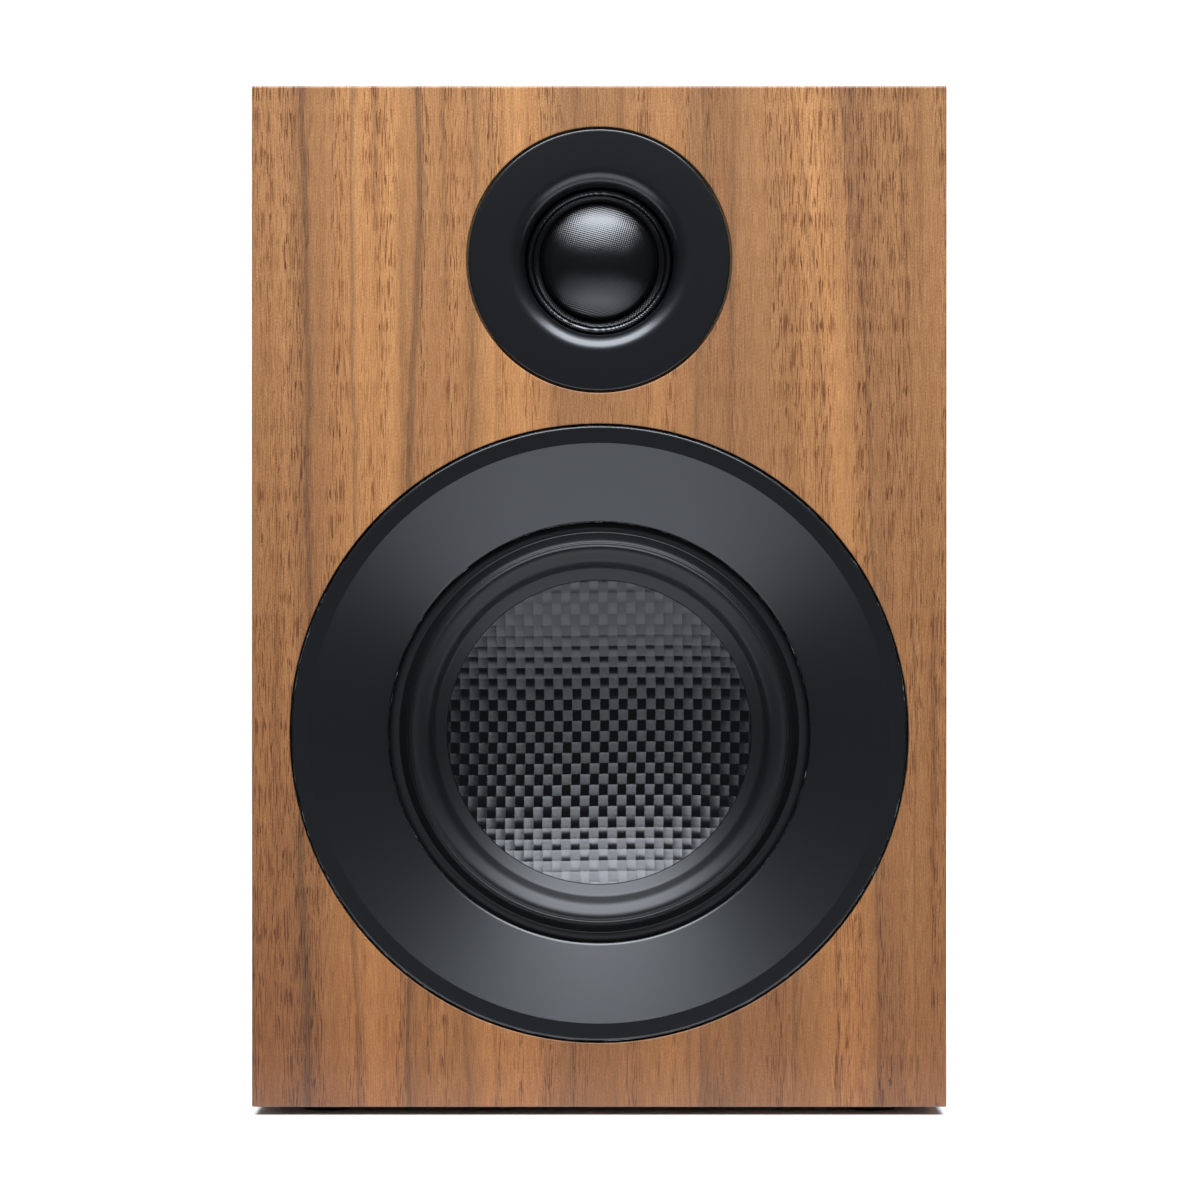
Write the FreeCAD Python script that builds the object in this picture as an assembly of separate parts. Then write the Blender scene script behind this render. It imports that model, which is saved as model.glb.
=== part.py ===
"""Two-way bookshelf speaker: a veneered MDF cabinet with a dome tweeter above a woofer.

Millimetres, +Z up. The front faces -Y, X = 0 is the middle plane, Z = 0 is the bottom of the feet,
and Y = 0 is halfway between the front face and the backs of the binding posts.
The model is drawn with Y counted backwards from the front face and shifted once, in save().
"""

import FreeCAD, Part
import math
import os

os.makedirs("parts", exist_ok=True)

# ---- driving dimensions ----
cabinet_width = 165.0
cabinet_height = 242.5
cabinet_depth = 200.0
foot_height = 2.0
veneer = 0.6
baffle_thickness = 18.0
wall_thickness = 12.0
rebate_width = 5.2
post_protrusion = 3.5

woofer_height = 90.75
woofer_recess_radius = 73.6
ring_seat_depth = 9.5
flange_depth = 9.0
flange_thickness = 2.0
woofer_gasket_thickness = 0.8
woofer_hole_radius = 51.0
basket_radius = 59.0
woofer_screw_circle = 56.0
ring_peg_circle = 66.0
cone_radius = 39.0
cone_curve = 82.0
coil_radius = 12.5

tweeter_height = 203.2
faceplate_recess_radius = 31.65
faceplate_thickness = 3.6
chassis_depth = 7.0
chassis_thickness = 4.5
chassis_radius = 28.0
tweeter_gasket_thickness = 0.6
tweeter_hole_radius = 22.4
chassis_fixing_circle = 25.0
dome_radius = 13.5
dome_rise = 4.3
dome_skirt = 2.4
tweeter_coil_radius = 12.75

port_height = 172.0
port_radius = 17.5
port_length = 96.0
port_wall = 2.0

cup_height = 62.0
cup_inner_width = 70.0
cup_inner_height = 42.0
cup_wall = 2.0
cup_floor_depth = 178.0
post_spacing = 19.05
stud_radius = 3.0
socket_radius = 2.0

fit_gap = 0.05

# ---- derived places ----
half_width = cabinet_width / 2
floor_level = foot_height
top_level = foot_height + cabinet_height
core_half_width = half_width - veneer
core_bottom = floor_level + veneer
core_top = top_level - veneer
baffle_back = veneer + baffle_thickness
inner_half_width = core_half_width - wall_thickness
inner_bottom = core_bottom + wall_thickness
inner_top = core_top - wall_thickness
core_back = cabinet_depth - veneer
back_panel_front = cabinet_depth - wall_thickness
woofer_floor_depth = flange_depth + flange_thickness + woofer_gasket_thickness
chassis_floor_depth = chassis_depth + chassis_thickness + tweeter_gasket_thickness
overall_depth = cabinet_depth + post_protrusion
front_y = -overall_depth / 2
woofer_screw_angles = [45, 135, 225, 315]
ring_peg_angles = [0, 60, 120, 180, 240, 300]
chassis_screw_angles = [45, 135, 225, 315]
faceplate_peg_angles = [90, 210, 330]
post_places = {"red": -post_spacing / 2, "black": post_spacing / 2}


# ---- shape helpers ----
def vector(x, y, z):
    return FreeCAD.Vector(x, y, z)


def block(x_range, y_range, z_range):
    """A box between pairs of limits."""
    sizes = [high - low for low, high in (x_range, y_range, z_range)]
    return Part.makeBox(*sizes, vector(x_range[0], y_range[0], z_range[0]))


def rod(centre, radius, y_range):
    """A cylinder along Y; centre is its (x, z)."""
    start = vector(centre[0], y_range[0], centre[1])
    return Part.makeCylinder(radius, y_range[1] - y_range[0], start, vector(0, 1, 0))


def post(centre, radius, z_range):
    """A cylinder along Z; centre is its (x, y)."""
    start = vector(centre[0], centre[1], z_range[0])
    return Part.makeCylinder(radius, z_range[1] - z_range[0], start)


def tube(centre, inner, outer, y_range):
    return rod(centre, outer, y_range).cut(rod(centre, inner, y_range))


def edge_between(start, end):
    """An edge from start to end; a third number in end bows it by that much to its left."""
    first = vector(start[0], start[1], 0)
    last = vector(end[0], end[1], 0)
    if len(end) == 2:
        return Part.LineSegment(first, last).toShape()
    along = last - first
    left = vector(-along.y, along.x, 0).normalize()
    middle = (first + last) * 0.5 + left * end[2]
    return Part.Arc(first, middle, last).toShape()


def closed_face(points):
    """A face in the X-Y plane inside an outline of edge_between steps."""
    starts = points
    ends = points[1:] + [points[0][:2]]
    edges = [edge_between(start, end) for start, end in zip(starts, ends)]
    return Part.Face(Part.Wire(edges))


def turned(centre, points):
    """A body of revolution about the Y axis through centre; points are (radius, y) steps."""
    solid = closed_face(points).revolve(vector(0, 0, 0), vector(0, 1, 0), 360)
    solid.translate(vector(centre[0], 0, centre[1]))
    return solid


def skin(path, thickness):
    """The outline of a sheet that follows path and is so thick along Y."""
    outline = [(path[0][0], path[0][1])] + list(path[1:])
    back = [(path[-1][0], path[-1][1] + thickness)]
    for here, nearer in zip(reversed(path), list(reversed(path))[1:]):
        step = (nearer[0], nearer[1] + thickness)
        back.append(step + (-here[2],) if len(here) == 3 else step)
    return outline + back


def on_circle(centre, radius, angles):
    """The (x, z) places at some angles on a circle, in degrees from +X towards +Z."""
    turns = [math.radians(angle) for angle in angles]
    return [(centre[0] + radius * math.cos(t), centre[1] + radius * math.sin(t)) for t in turns]


def cut_all(solid, tools):
    for tool in tools:
        solid = solid.cut(tool)
    return solid


def fuse_all(solids):
    first, *others = solids
    return first.multiFuse(others).removeSplitter() if others else first


def rounded_block(x_range, y_range, z_range, radius):
    """A box with its four edges along Y rounded."""
    body = block(x_range, y_range, z_range)
    along_y = [e for e in body.Edges if abs(e.tangentAt(e.FirstParameter).y) > 0.99]
    return body.makeFillet(radius, along_y)


def hexagon(centre, across_flats, y_range):
    corners = on_circle(centre, across_flats / math.sqrt(3), range(0, 361, 60))
    wire = Part.makePolygon([vector(x, y_range[0], z) for x, z in corners])
    return Part.Face(wire).extrude(vector(0, y_range[1] - y_range[0], 0))


def wire_along(points, radius):
    """A round wire through points: straight runs joined by tangent arcs as large as they allow."""
    route = [vector(*p) for p in points]
    edges = []
    here = route[0]
    for before, corner, after in zip(route, route[1:], route[2:]):
        incoming = corner - before
        outgoing = after - corner
        half_turn = incoming.getAngle(outgoing) / 2
        reach = 0.45 * min(incoming.Length, outgoing.Length)
        bend = reach / math.tan(half_turn)
        start = corner - incoming.normalize() * reach
        end = corner + outgoing.normalize() * reach
        inward = (start + end) * 0.5 - corner
        middle = corner + inward.normalize() * (bend / math.cos(half_turn) - bend)
        edges.append(Part.LineSegment(here, start).toShape())
        edges.append(Part.Arc(start, middle, end).toShape())
        print(f"wire bend radius {bend:.1f} mm")
        here = end
    edges.append(Part.LineSegment(here, route[-1]).toShape())
    spine = Part.Wire(edges)
    circle = Part.Wire(Part.makeCircle(radius, route[0], route[1] - route[0]))
    return spine.makePipeShell([circle], True, True)


def pan_head_screw(place, head_radius, shank_radius, seat, head_height, length):
    """A screw along Y that enters at seat; a negative length makes it point towards the front."""
    way = math.copysign(1, length)
    head = sorted((seat, seat - way * head_height))
    shank = sorted((seat - way * head_height / 2, seat + length))
    socket = sorted((seat - way * head_height, seat - way * head_height * 0.4))
    body = rod(place, head_radius, head).fuse(rod(place, shank_radius, shank)).removeSplitter()
    return body.cut(hexagon(place, head_radius, socket))


def save(name, *solids):
    """Write one node, moved to where Y = 0 is the middle of the speaker's depth."""
    shape = solids[0] if len(solids) == 1 else Part.makeCompound(list(solids))
    placed = shape.copy()
    placed.translate(vector(0, front_y, 0))
    placed.exportStep(f"parts/{name}.step")


woofer = (0, woofer_height)
tweeter = (0, tweeter_height)
port = (0, port_height)
woofer_screws = on_circle(woofer, woofer_screw_circle, woofer_screw_angles)
chassis_screws = on_circle(tweeter, chassis_fixing_circle, chassis_screw_angles)
faceplate_pegs = on_circle(tweeter, chassis_fixing_circle, faceplate_peg_angles)
ring_pegs = on_circle(woofer, ring_peg_circle, ring_peg_angles)


# ---- cabinet ----
wood_screw_shank = 1.6
woofer_screw_length = 9.0
chassis_screw_length = 10.5
ring_peg_radius = 1.9
ring_peg_end = 15.0
faceplate_peg_radius = 1.4
faceplate_peg_end = 9.5
cup_screw_places = [(x, cup_height + z) for x in (-38.5, 38.5) for z in (-27.0, 27.0)]
cup_screw_length = 13.0
port_flange_radius = 29.0
port_flange_thickness = 2.5
port_hole_radius = 26.0
board_level = 20.0
board_holes = [(x, y) for x in (-45.0, 45.0) for y in (101.0, 164.0)]
board_screw_shank = 1.4
board_screw_end = 7.0


def front_baffle():
    """The front board, stepped for the drivers' seats, with peg and pilot holes."""
    board = block(
        (-core_half_width, core_half_width), (veneer, baffle_back), (core_bottom, core_top)
    )
    openings = [
        rod(woofer, woofer_recess_radius, (0, ring_seat_depth)),
        rod(woofer, basket_radius + 0.4, (0, woofer_floor_depth)),
        rod(woofer, woofer_hole_radius, (0, cabinet_depth)),
        rod(tweeter, faceplate_recess_radius, (0, faceplate_thickness)),
        rod(tweeter, chassis_radius + 0.4, (0, chassis_floor_depth)),
        rod(tweeter, tweeter_hole_radius, (0, cabinet_depth)),
    ]
    pilot = wood_screw_shank + fit_gap
    for place in woofer_screws:
        openings.append(rod(place, pilot, (0, flange_depth + woofer_screw_length + 0.2)))
    for place in chassis_screws:
        openings.append(rod(place, pilot, (0, chassis_depth + chassis_screw_length + 0.2)))
    for place in ring_pegs:
        openings.append(rod(place, ring_peg_radius + fit_gap, (0, ring_peg_end + 0.5)))
    return cut_all(board, openings)


def wrap_panel(outer_corners, inner_corners):
    """One mitred wall: a four-sided section in X-Z, run from the baffle to the back edging."""
    (a, b), (c, d) = outer_corners, inner_corners
    section = Part.makePolygon([vector(x, baffle_back, z) for x, z in (a, b, c, d, a)])
    panel = Part.Face(section).extrude(vector(0, core_back - baffle_back, 0))
    rebate = block(
        (-inner_half_width - rebate_width, inner_half_width + rebate_width),
        (back_panel_front, cabinet_depth),
        (inner_bottom - rebate_width, inner_top + rebate_width),
    )
    return panel.cut(rebate)


def wrap_panels():
    left, right = -core_half_width, core_half_width
    inner_left, inner_right = -inner_half_width, inner_half_width
    low, high = core_bottom, core_top
    inner_low, inner_high = inner_bottom, inner_top
    return {
        "left_panel": wrap_panel(
            ((left, low), (left, high)), ((inner_left, inner_high), (inner_left, inner_low))
        ),
        "right_panel": wrap_panel(
            ((right, high), (right, low)), ((inner_right, inner_low), (inner_right, inner_high))
        ),
        "top_panel": wrap_panel(
            ((left, high), (right, high)), ((inner_right, inner_high), (inner_left, inner_high))
        ),
        "bottom_panel": wrap_panel(
            ((right, low), (left, low)), ((inner_left, inner_low), (inner_right, inner_low))
        ).cut(Part.makeCompound(
            [post(hole, board_screw_shank + fit_gap, (board_screw_end, board_level))
             for hole in board_holes]
        )),
    }


def back_panel():
    """The rear board in its rebate, open for the port and the terminal cup."""
    play = 0.2
    reach = inner_half_width + rebate_width - play
    board = block(
        (-reach, reach),
        (back_panel_front, cabinet_depth),
        (inner_bottom - rebate_width + play, inner_top + rebate_width - play),
    )
    cup_half_width = cup_inner_width / 2 + cup_wall + 0.5
    cup_half_height = cup_inner_height / 2 + cup_wall + 0.5
    openings = [
        rod(port, port_hole_radius, (back_panel_front, cabinet_depth)),
        rod(port, port_flange_radius + 0.2,
            (cabinet_depth - port_flange_thickness, cabinet_depth)),
        rounded_block(
            (-cup_half_width, cup_half_width), (back_panel_front, cabinet_depth),
            (cup_height - cup_half_height, cup_height + cup_half_height), 8.0,
        ),
    ]
    for place in cup_screw_places:
        openings.append(rod(place, wood_screw_shank + fit_gap,
                            (cabinet_depth - cup_screw_length + 2.0, cabinet_depth)))
    return cut_all(board, openings)


def veneers():
    """Veneer sheets with slightly eased outer edges; the front sheet covers the others' edges."""
    eased = 0.45
    front = block((-half_width, half_width), (0, veneer), (floor_level, top_level))
    rim = [e for e in front.Edges if e.CenterOfMass.y < 0.01]
    front = front.makeFillet(eased, rim)
    front = front.cut(rod(woofer, woofer_recess_radius, (-1, 1)))
    front = front.cut(rod(tweeter, faceplate_recess_radius, (-1, 1)))
    run = (veneer, cabinet_depth)
    sheets = {"veneer_front": front}
    for name, x in (("veneer_left", -half_width), ("veneer_right", core_half_width)):
        sheets[name] = block((x, x + veneer), run, (core_bottom, core_top))
    for name, z, outer in (
        ("veneer_top", core_top, top_level), ("veneer_bottom", floor_level, floor_level)
    ):
        sheet = block((-half_width, half_width), run, (z, z + veneer))
        corners = [
            e for e in sheet.Edges
            if abs(e.CenterOfMass.z - outer) < 0.01
            and abs(abs(e.CenterOfMass.x) - half_width) < 0.01
        ]
        sheets[name] = sheet.makeFillet(eased, corners)
    return sheets


def rear_edging():
    """The veneer strip glued over the rear edges of the wrap."""
    outer = block(
        (-core_half_width, core_half_width), (core_back, cabinet_depth), (core_bottom, core_top)
    )
    return outer.cut(block(
        (-inner_half_width - rebate_width, inner_half_width + rebate_width),
        (core_back, cabinet_depth),
        (inner_bottom - rebate_width, inner_top + rebate_width),
    ))


def rubber_feet():
    radius = 6.0
    inset = 17.0
    feet = []
    for x in (-half_width + inset, half_width - inset):
        for y in (inset, cabinet_depth - inset):
            foot = post((x, y), radius, (0, foot_height))
            rim = [e for e in foot.Edges if e.CenterOfMass.z < 0.01]
            feet.append(foot.makeFillet(0.5, rim))
    return feet


def wadding():
    """Two lofty sheets that line the side walls."""
    thickness = 9.0
    sheets = []
    for x in (-inner_half_width, inner_half_width - thickness):
        sheets.append(rounded_block((x, x + thickness), (72.0, 178.0), (58.0, 226.0), 3.0))
    return sheets


save("front_baffle", front_baffle())
for name, panel in wrap_panels().items():
    save(name, panel)
save("back_panel", back_panel())
for name, sheet in veneers().items():
    save(name, sheet)
save("rear_edging", rear_edging())
save("rubber_feet", *rubber_feet())
save("wadding", *wadding())


# ---- woofer ----
ring_radius = 73.1
ring_flat_radius = 69.0
ring_inner_radius = 50.2
ring_slope = math.tan(math.radians(19))
ring_wall = 2.1
roll_outer_radius = 47.7
roll_inner_radius = 39.3
roll_rise = 3.9
surround_depth = 8.2
surround_thickness = 0.7
spider_depth = 26.4
spider_thickness = 0.5
basket_metal = 1.8
shelf_depth = spider_depth + 0.6
woofer_screw_clearance = 2.0
top_plate_depth = 38.0
top_plate_thickness = 5.0
magnet_thickness = 15.0
yoke_thickness = 5.0
motor_radius = 38.0
magnet_depth = top_plate_depth + top_plate_thickness
yoke_depth = magnet_depth + magnet_thickness
cone_thickness = 0.7
cone_edge_depth = flange_depth
former_wall = 0.3
former_end = 47.5
winding_wall = 0.5
winding_run = (34.0, 47.0)
gap_clearance = 0.4
magnet_bore_radius = 18.0
pole_vent_radius = 4.0


def cone_depth(radius):
    """Depth of the cone's front surface, a sphere that is deepest at the middle."""
    at_edge = math.sqrt(cone_curve**2 - (cone_radius + 0.4)**2)
    return cone_edge_depth + math.sqrt(cone_curve**2 - radius**2) - at_edge


def woofer_trim_ring():
    """The moulded ring: flat rim, shallow cone inwards, hollow behind, six pegs."""
    bevel = 0.3
    lip_depth = (ring_flat_radius - ring_inner_radius) * ring_slope
    lip_back = lip_depth + 1.4
    rim_wall = 2.2
    hollow_start = ring_flat_radius - 0.5
    section = [
        (ring_radius - bevel, 0),
        (ring_flat_radius, 0),
        (ring_inner_radius + 0.3, lip_depth - 0.1),
        (ring_inner_radius, lip_depth + 0.2, 0.06),
        (ring_inner_radius, lip_back),
        (ring_inner_radius + 2.0, lip_back),
        (hollow_start, 0.5 * ring_slope + ring_wall),
        (ring_radius - rim_wall, 0.5 * ring_slope + ring_wall),
        (ring_radius - rim_wall, ring_seat_depth),
        (ring_radius, ring_seat_depth),
        (ring_radius, bevel),
    ]
    peg_start = (ring_flat_radius - ring_peg_circle) * ring_slope + 1.0
    pegs = [rod(place, ring_peg_radius, (peg_start, ring_peg_end)) for place in ring_pegs]
    return fuse_all([turned(woofer, section)] + pegs)


def woofer_basket():
    """The pressed frame: flange, windowed wall, spider shelf and motor seat."""
    back = flange_depth + flange_thickness
    section = [
        (49.0, flange_depth),
        (48.6, back + 1.0),
        (44.0, 23.0),
        (38.6, shelf_depth),
        (33.0, shelf_depth),
        (31.5, top_plate_depth - 1.6),
        (22.0, top_plate_depth - 1.6),
        (22.0, top_plate_depth),
        (33.2, top_plate_depth),
        (34.8, shelf_depth + basket_metal),
        (39.3, shelf_depth + basket_metal),
        (45.6, 24.2),
        (50.4, 12.8),
        (50.6, back),
        (basket_radius, back),
        (basket_radius, flange_depth),
    ]
    window = block((40.0, 56.0), (14.0, 22.4), (-11.0, 11.0))
    windows = []
    for angle in range(0, 360, 60):
        cutter = window.copy()
        cutter.rotate(vector(0, 0, 0), vector(0, 1, 0), angle)
        cutter.translate(vector(0, 0, woofer_height))
        windows.append(cutter)
    holes = [rod(place, woofer_screw_clearance, (flange_depth, back)) for place in woofer_screws]
    return cut_all(turned(woofer, section), windows + holes)


def woofer_gasket():
    """The foam ring between the basket's flange and its seat in the baffle."""
    run = (flange_depth + flange_thickness, woofer_floor_depth)
    body = tube(woofer, woofer_hole_radius + 0.5, basket_radius - 0.2, run)
    return cut_all(body, [rod(place, woofer_screw_clearance, run) for place in woofer_screws])


def woofer_cone():
    """A one-piece concave dish of woven carbon fibre."""
    front_edge = cone_depth(cone_radius)
    middle = cone_depth(0)
    bow = cone_curve * (1 - math.cos(math.asin(cone_radius / cone_curve) / 2))
    return turned(woofer, [
        (0, middle),
        (cone_radius, front_edge, bow),
        (cone_radius, front_edge + cone_thickness),
        (0, middle + cone_thickness, -bow),
    ])


def woofer_surround():
    """The rubber half roll, its outer flange on the basket and its inner flange on the cone."""
    inner_edge = 36.3
    path = [
        (52.4, surround_depth),
        (roll_outer_radius, surround_depth),
        (roll_inner_radius, surround_depth, roll_rise),
        (inner_edge, cone_depth(inner_edge) - surround_thickness - 0.08),
    ]
    return turned(woofer, skin(path, surround_thickness))


def woofer_spider():
    """The corrugated suspension between the former and the basket's shelf."""
    waves = 8
    first, last = 13.9, 33.3
    rise = 1.0
    path = [(coil_radius + former_wall + fit_gap, spider_depth), (first, spider_depth)]
    for wave in range(1, waves + 1):
        bow = rise if wave % 2 else -rise
        path.append((first + (last - first) * wave / waves, spider_depth, bow))
    path.append((38.2, spider_depth))
    return turned(woofer, skin(path, spider_thickness))


def voice_coil_former():
    """The paper tube glued to the back of the cone."""
    start = cone_depth(coil_radius) + cone_thickness + 0.02
    return tube(woofer, coil_radius, coil_radius + former_wall, (start, former_end))


def voice_coil_winding():
    inner = coil_radius + former_wall
    return tube(woofer, inner, inner + winding_wall, winding_run)


def woofer_top_plate():
    bore = coil_radius + former_wall + winding_wall + gap_clearance
    return tube(woofer, bore, motor_radius, (top_plate_depth, magnet_depth))


def woofer_magnet():
    return tube(woofer, magnet_bore_radius, motor_radius + 2.0, (magnet_depth, yoke_depth))


def woofer_yoke():
    """The back plate and vented pole in one piece of steel."""
    plate = rod(woofer, motor_radius, (yoke_depth, yoke_depth + yoke_thickness))
    pole = rod(woofer, coil_radius - 0.3, (top_plate_depth - 0.5, yoke_depth + 1.0))
    vent = rod(woofer, pole_vent_radius, (0, cabinet_depth))
    rim = [
        e for e in plate.Edges
        if e.CenterOfMass.y > yoke_depth + yoke_thickness - 0.01 and hasattr(e.Curve, "Radius")
    ]
    return plate.makeChamfer(1.0, rim).fuse(pole).removeSplitter().cut(vent)


terminal_shelf = shelf_depth + basket_metal
tab_offset = 4.5
tab_half_width = 1.4


def woofer_terminals():
    """A fibre strip under the basket's shelf with two blade tabs."""
    strip_back = terminal_shelf + 1.6
    strip = block(
        (35.2, 50.0), (terminal_shelf, strip_back), (woofer_height - 8.0, woofer_height + 8.0)
    )
    tabs = [
        block((44.0, 58.0), (strip_back, strip_back + 0.5), (z - tab_half_width, z + tab_half_width))
        for z in (woofer_height - tab_offset, woofer_height + tab_offset)
    ]
    return [strip] + tabs


def woofer_tinsel_leads():
    """Two slack braided leads from the former, through a window, to the terminal strip."""
    leads = []
    for z in (-tab_offset, tab_offset):
        level = woofer_height + z
        leads.append(wire_along([
            (12.7, 23.8, level), (19.0, 22.6, level), (29.0, 21.2, level), (38.0, 20.6, level),
            (46.5, 19.6, level), (50.4, 23.4, level), (48.6, terminal_shelf - 0.3, level),
        ], 0.45))
    return leads


save("woofer_trim_ring", woofer_trim_ring())
save("woofer_basket", woofer_basket())
save("woofer_gasket", woofer_gasket())
save("woofer_screws", *[
    pan_head_screw(place, 2.6, wood_screw_shank, flange_depth, 1.3, woofer_screw_length)
    for place in woofer_screws
])
save("woofer_cone", woofer_cone())
save("woofer_surround", woofer_surround())
save("woofer_spider", woofer_spider())
save("voice_coil_former", voice_coil_former())
save("voice_coil_winding", voice_coil_winding())
save("woofer_top_plate", woofer_top_plate())
save("woofer_magnet", woofer_magnet())
save("woofer_yoke", woofer_yoke())
save("woofer_terminals", *woofer_terminals())
save("woofer_tinsel_leads", *woofer_tinsel_leads())


# ---- tweeter ----
faceplate_radius = 31.05
lip_outer_radius = 21.8
lip_inner_radius = 17.7
lip_depth = 4.2
dome_edge_depth = 7.6
mini_roll_depth = 6.6
mini_roll_outer = 17.55
mini_roll_inner = 15.75
mini_roll_rise = 0.75
mini_roll_foot = 7.2
dome_cloth = 0.3
skirt_radius = dome_radius + 0.6
tweeter_coil_wall = 0.6
cup_radius = 19.5
cup_bore_radius = 16.5
pole_cap_radius = 12.4
chassis_back = chassis_depth + chassis_thickness
gap_front = 8.5
yoke_floor = 21.5
yoke_back = 24.5
tweeter_magnet_radius = 11.5
vent_radius = 3.0
chamber_back = 39.5
chamber_wall = 1.5
chassis_screw_clearance = 1.9


def tweeter_faceplate():
    """The moulded plate, rolled over into a short flare around the dome, on three pegs."""
    bevel = 0.3
    roll_bow = -0.2929 * (lip_outer_radius - lip_inner_radius + lip_depth) / 2
    section = [
        (faceplate_radius - bevel, 0),
        (lip_outer_radius, 0),
        (lip_inner_radius, lip_depth, roll_bow),
        (lip_inner_radius + 0.6, lip_depth + 0.9),
        (lip_inner_radius + 0.6, mini_roll_depth - 0.1),
        (22.0, mini_roll_depth - 0.1),
        (22.0, faceplate_thickness),
        (faceplate_radius, faceplate_thickness),
        (faceplate_radius, bevel),
    ]
    pegs = [
        rod(place, faceplate_peg_radius, (faceplate_thickness - 1.0, faceplate_peg_end))
        for place in faceplate_pegs
    ]
    return fuse_all([turned(tweeter, section)] + pegs)


def tweeter_dome():
    """A fabric cap on a short steep skirt, with a flat edge that the surround is glued to."""
    radius = (dome_radius**2 + dome_rise**2) / (2 * dome_rise)
    bow = radius * (1 - math.cos(math.asin(dome_radius / radius) / 2))
    shoulder = dome_edge_depth - dome_skirt
    path = [
        (skirt_radius + 0.8, dome_edge_depth),
        (skirt_radius, dome_edge_depth),
        (dome_radius, shoulder),
        (0, shoulder - dome_rise, bow),
    ]
    return turned(tweeter, skin(path, dome_cloth))


def tweeter_surround():
    """The fabric half roll, which drops to the dome's flat edge in a narrow groove."""
    path = [
        (21.5, mini_roll_depth),
        (mini_roll_outer, mini_roll_depth),
        (mini_roll_inner, mini_roll_depth + 0.1, mini_roll_rise),
        (skirt_radius + 0.15, mini_roll_foot),
    ]
    return turned(tweeter, skin(path, dome_cloth))


def tweeter_voice_coil():
    """The coil on its short former, which is glued up under the dome's shoulder."""
    under_shoulder = dome_edge_depth - dome_skirt + dome_cloth + 0.05
    outer = tweeter_coil_radius + tweeter_coil_wall
    return tube(tweeter, tweeter_coil_radius, outer, (under_shoulder, 12.5))


def tweeter_top_plate():
    """The chassis plate: it closes the magnet's gap and carries the fixing screws."""
    bore = tweeter_coil_radius + tweeter_coil_wall + gap_clearance
    dome_relief = 16.0
    plate = tube(tweeter, bore, chassis_radius, (chassis_depth, chassis_back))
    plate = plate.cut(rod(tweeter, dome_relief, (0, gap_front)))
    holes = [rod(place, chassis_screw_clearance, (0, chassis_back)) for place in chassis_screws]
    holes += [
        rod(place, faceplate_peg_radius + fit_gap, (0, chassis_back)) for place in faceplate_pegs
    ]
    return cut_all(plate, holes)


def tweeter_yoke_cup():
    """The pressed steel cup round the magnet, with a vent through its floor."""
    return turned(tweeter, [
        (vent_radius, yoke_floor),
        (cup_bore_radius, yoke_floor),
        (cup_bore_radius, chassis_back),
        (cup_radius, chassis_back),
        (cup_radius, yoke_back - 1.0),
        (cup_radius - 1.0, yoke_back),
        (vent_radius, yoke_back),
    ])


def tweeter_rear_chamber():
    """The moulded cup that takes the wave off the back of the dome."""
    corner = 1.5
    return turned(tweeter, [
        (cup_radius - chamber_wall, yoke_back),
        (cup_radius - chamber_wall, chamber_back - chamber_wall),
        (0, chamber_back - chamber_wall),
        (0, chamber_back),
        (cup_radius - corner, chamber_back),
        (cup_radius, chamber_back - corner, (1 - math.cos(math.pi / 4)) * corner),
        (cup_radius, yoke_back),
    ])


def tweeter_terminals():
    """A fibre board on the back of the chamber with two blade tabs."""
    board_back = chamber_back + 1.6
    board = block(
        (-8.0, 8.0), (chamber_back, board_back), (tweeter_height - 4.0, tweeter_height + 4.0)
    )
    tabs = [
        block((x - tab_half_width, x + tab_half_width), (board_back, chamber_back + 8.0),
              (tweeter_height - 0.3, tweeter_height + 0.3))
        for x in (-tab_offset, tab_offset)
    ]
    return [board] + tabs


def tweeter_gasket():
    run = (chassis_back, chassis_floor_depth)
    body = tube(tweeter, tweeter_hole_radius + 0.2, chassis_radius - 0.2, run)
    return cut_all(body, [rod(place, chassis_screw_clearance, run) for place in chassis_screws])


save("tweeter_faceplate", tweeter_faceplate())
save("tweeter_dome", tweeter_dome())
save("tweeter_surround", tweeter_surround())
save("tweeter_voice_coil", tweeter_voice_coil())
save("tweeter_top_plate", tweeter_top_plate())
save("tweeter_pole_cap", tube(tweeter, vent_radius, pole_cap_radius, (gap_front, chassis_back)))
save("tweeter_magnet", tube(tweeter, vent_radius, tweeter_magnet_radius, (chassis_back, yoke_floor)))
save("tweeter_yoke_cup", tweeter_yoke_cup())
save("tweeter_rear_chamber", tweeter_rear_chamber())
save("tweeter_screws", *[
    pan_head_screw(place, 2.8, wood_screw_shank, chassis_depth, 1.8, chassis_screw_length)
    for place in chassis_screws
])
save("tweeter_terminals", *tweeter_terminals())
save("tweeter_gasket", tweeter_gasket())


# ---- reflex port ----
def port_tube():
    """The moulded port: flared mouth let in flush, straight bore, small flare inside."""
    mouth = cabinet_depth
    inside = cabinet_depth - port_length
    flange_front = mouth - port_flange_thickness
    outer_flare_start = mouth - 11.0
    inner_flare_end = inside + 7.0
    return turned(port, [
        (port_radius + 4.5, inside),
        (port_radius, inner_flare_end, 1.2),
        (port_radius, outer_flare_start),
        (port_radius + 10.0, mouth, 3.0),
        (port_flange_radius, mouth),
        (port_flange_radius, flange_front),
        (port_radius + 8.2, flange_front),
        (port_radius + port_wall, outer_flare_start, -1.6),
        (port_radius + port_wall, inner_flare_end),
        (port_radius + 6.0, inside, -0.8),
    ])


save("port_tube", port_tube())


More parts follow.
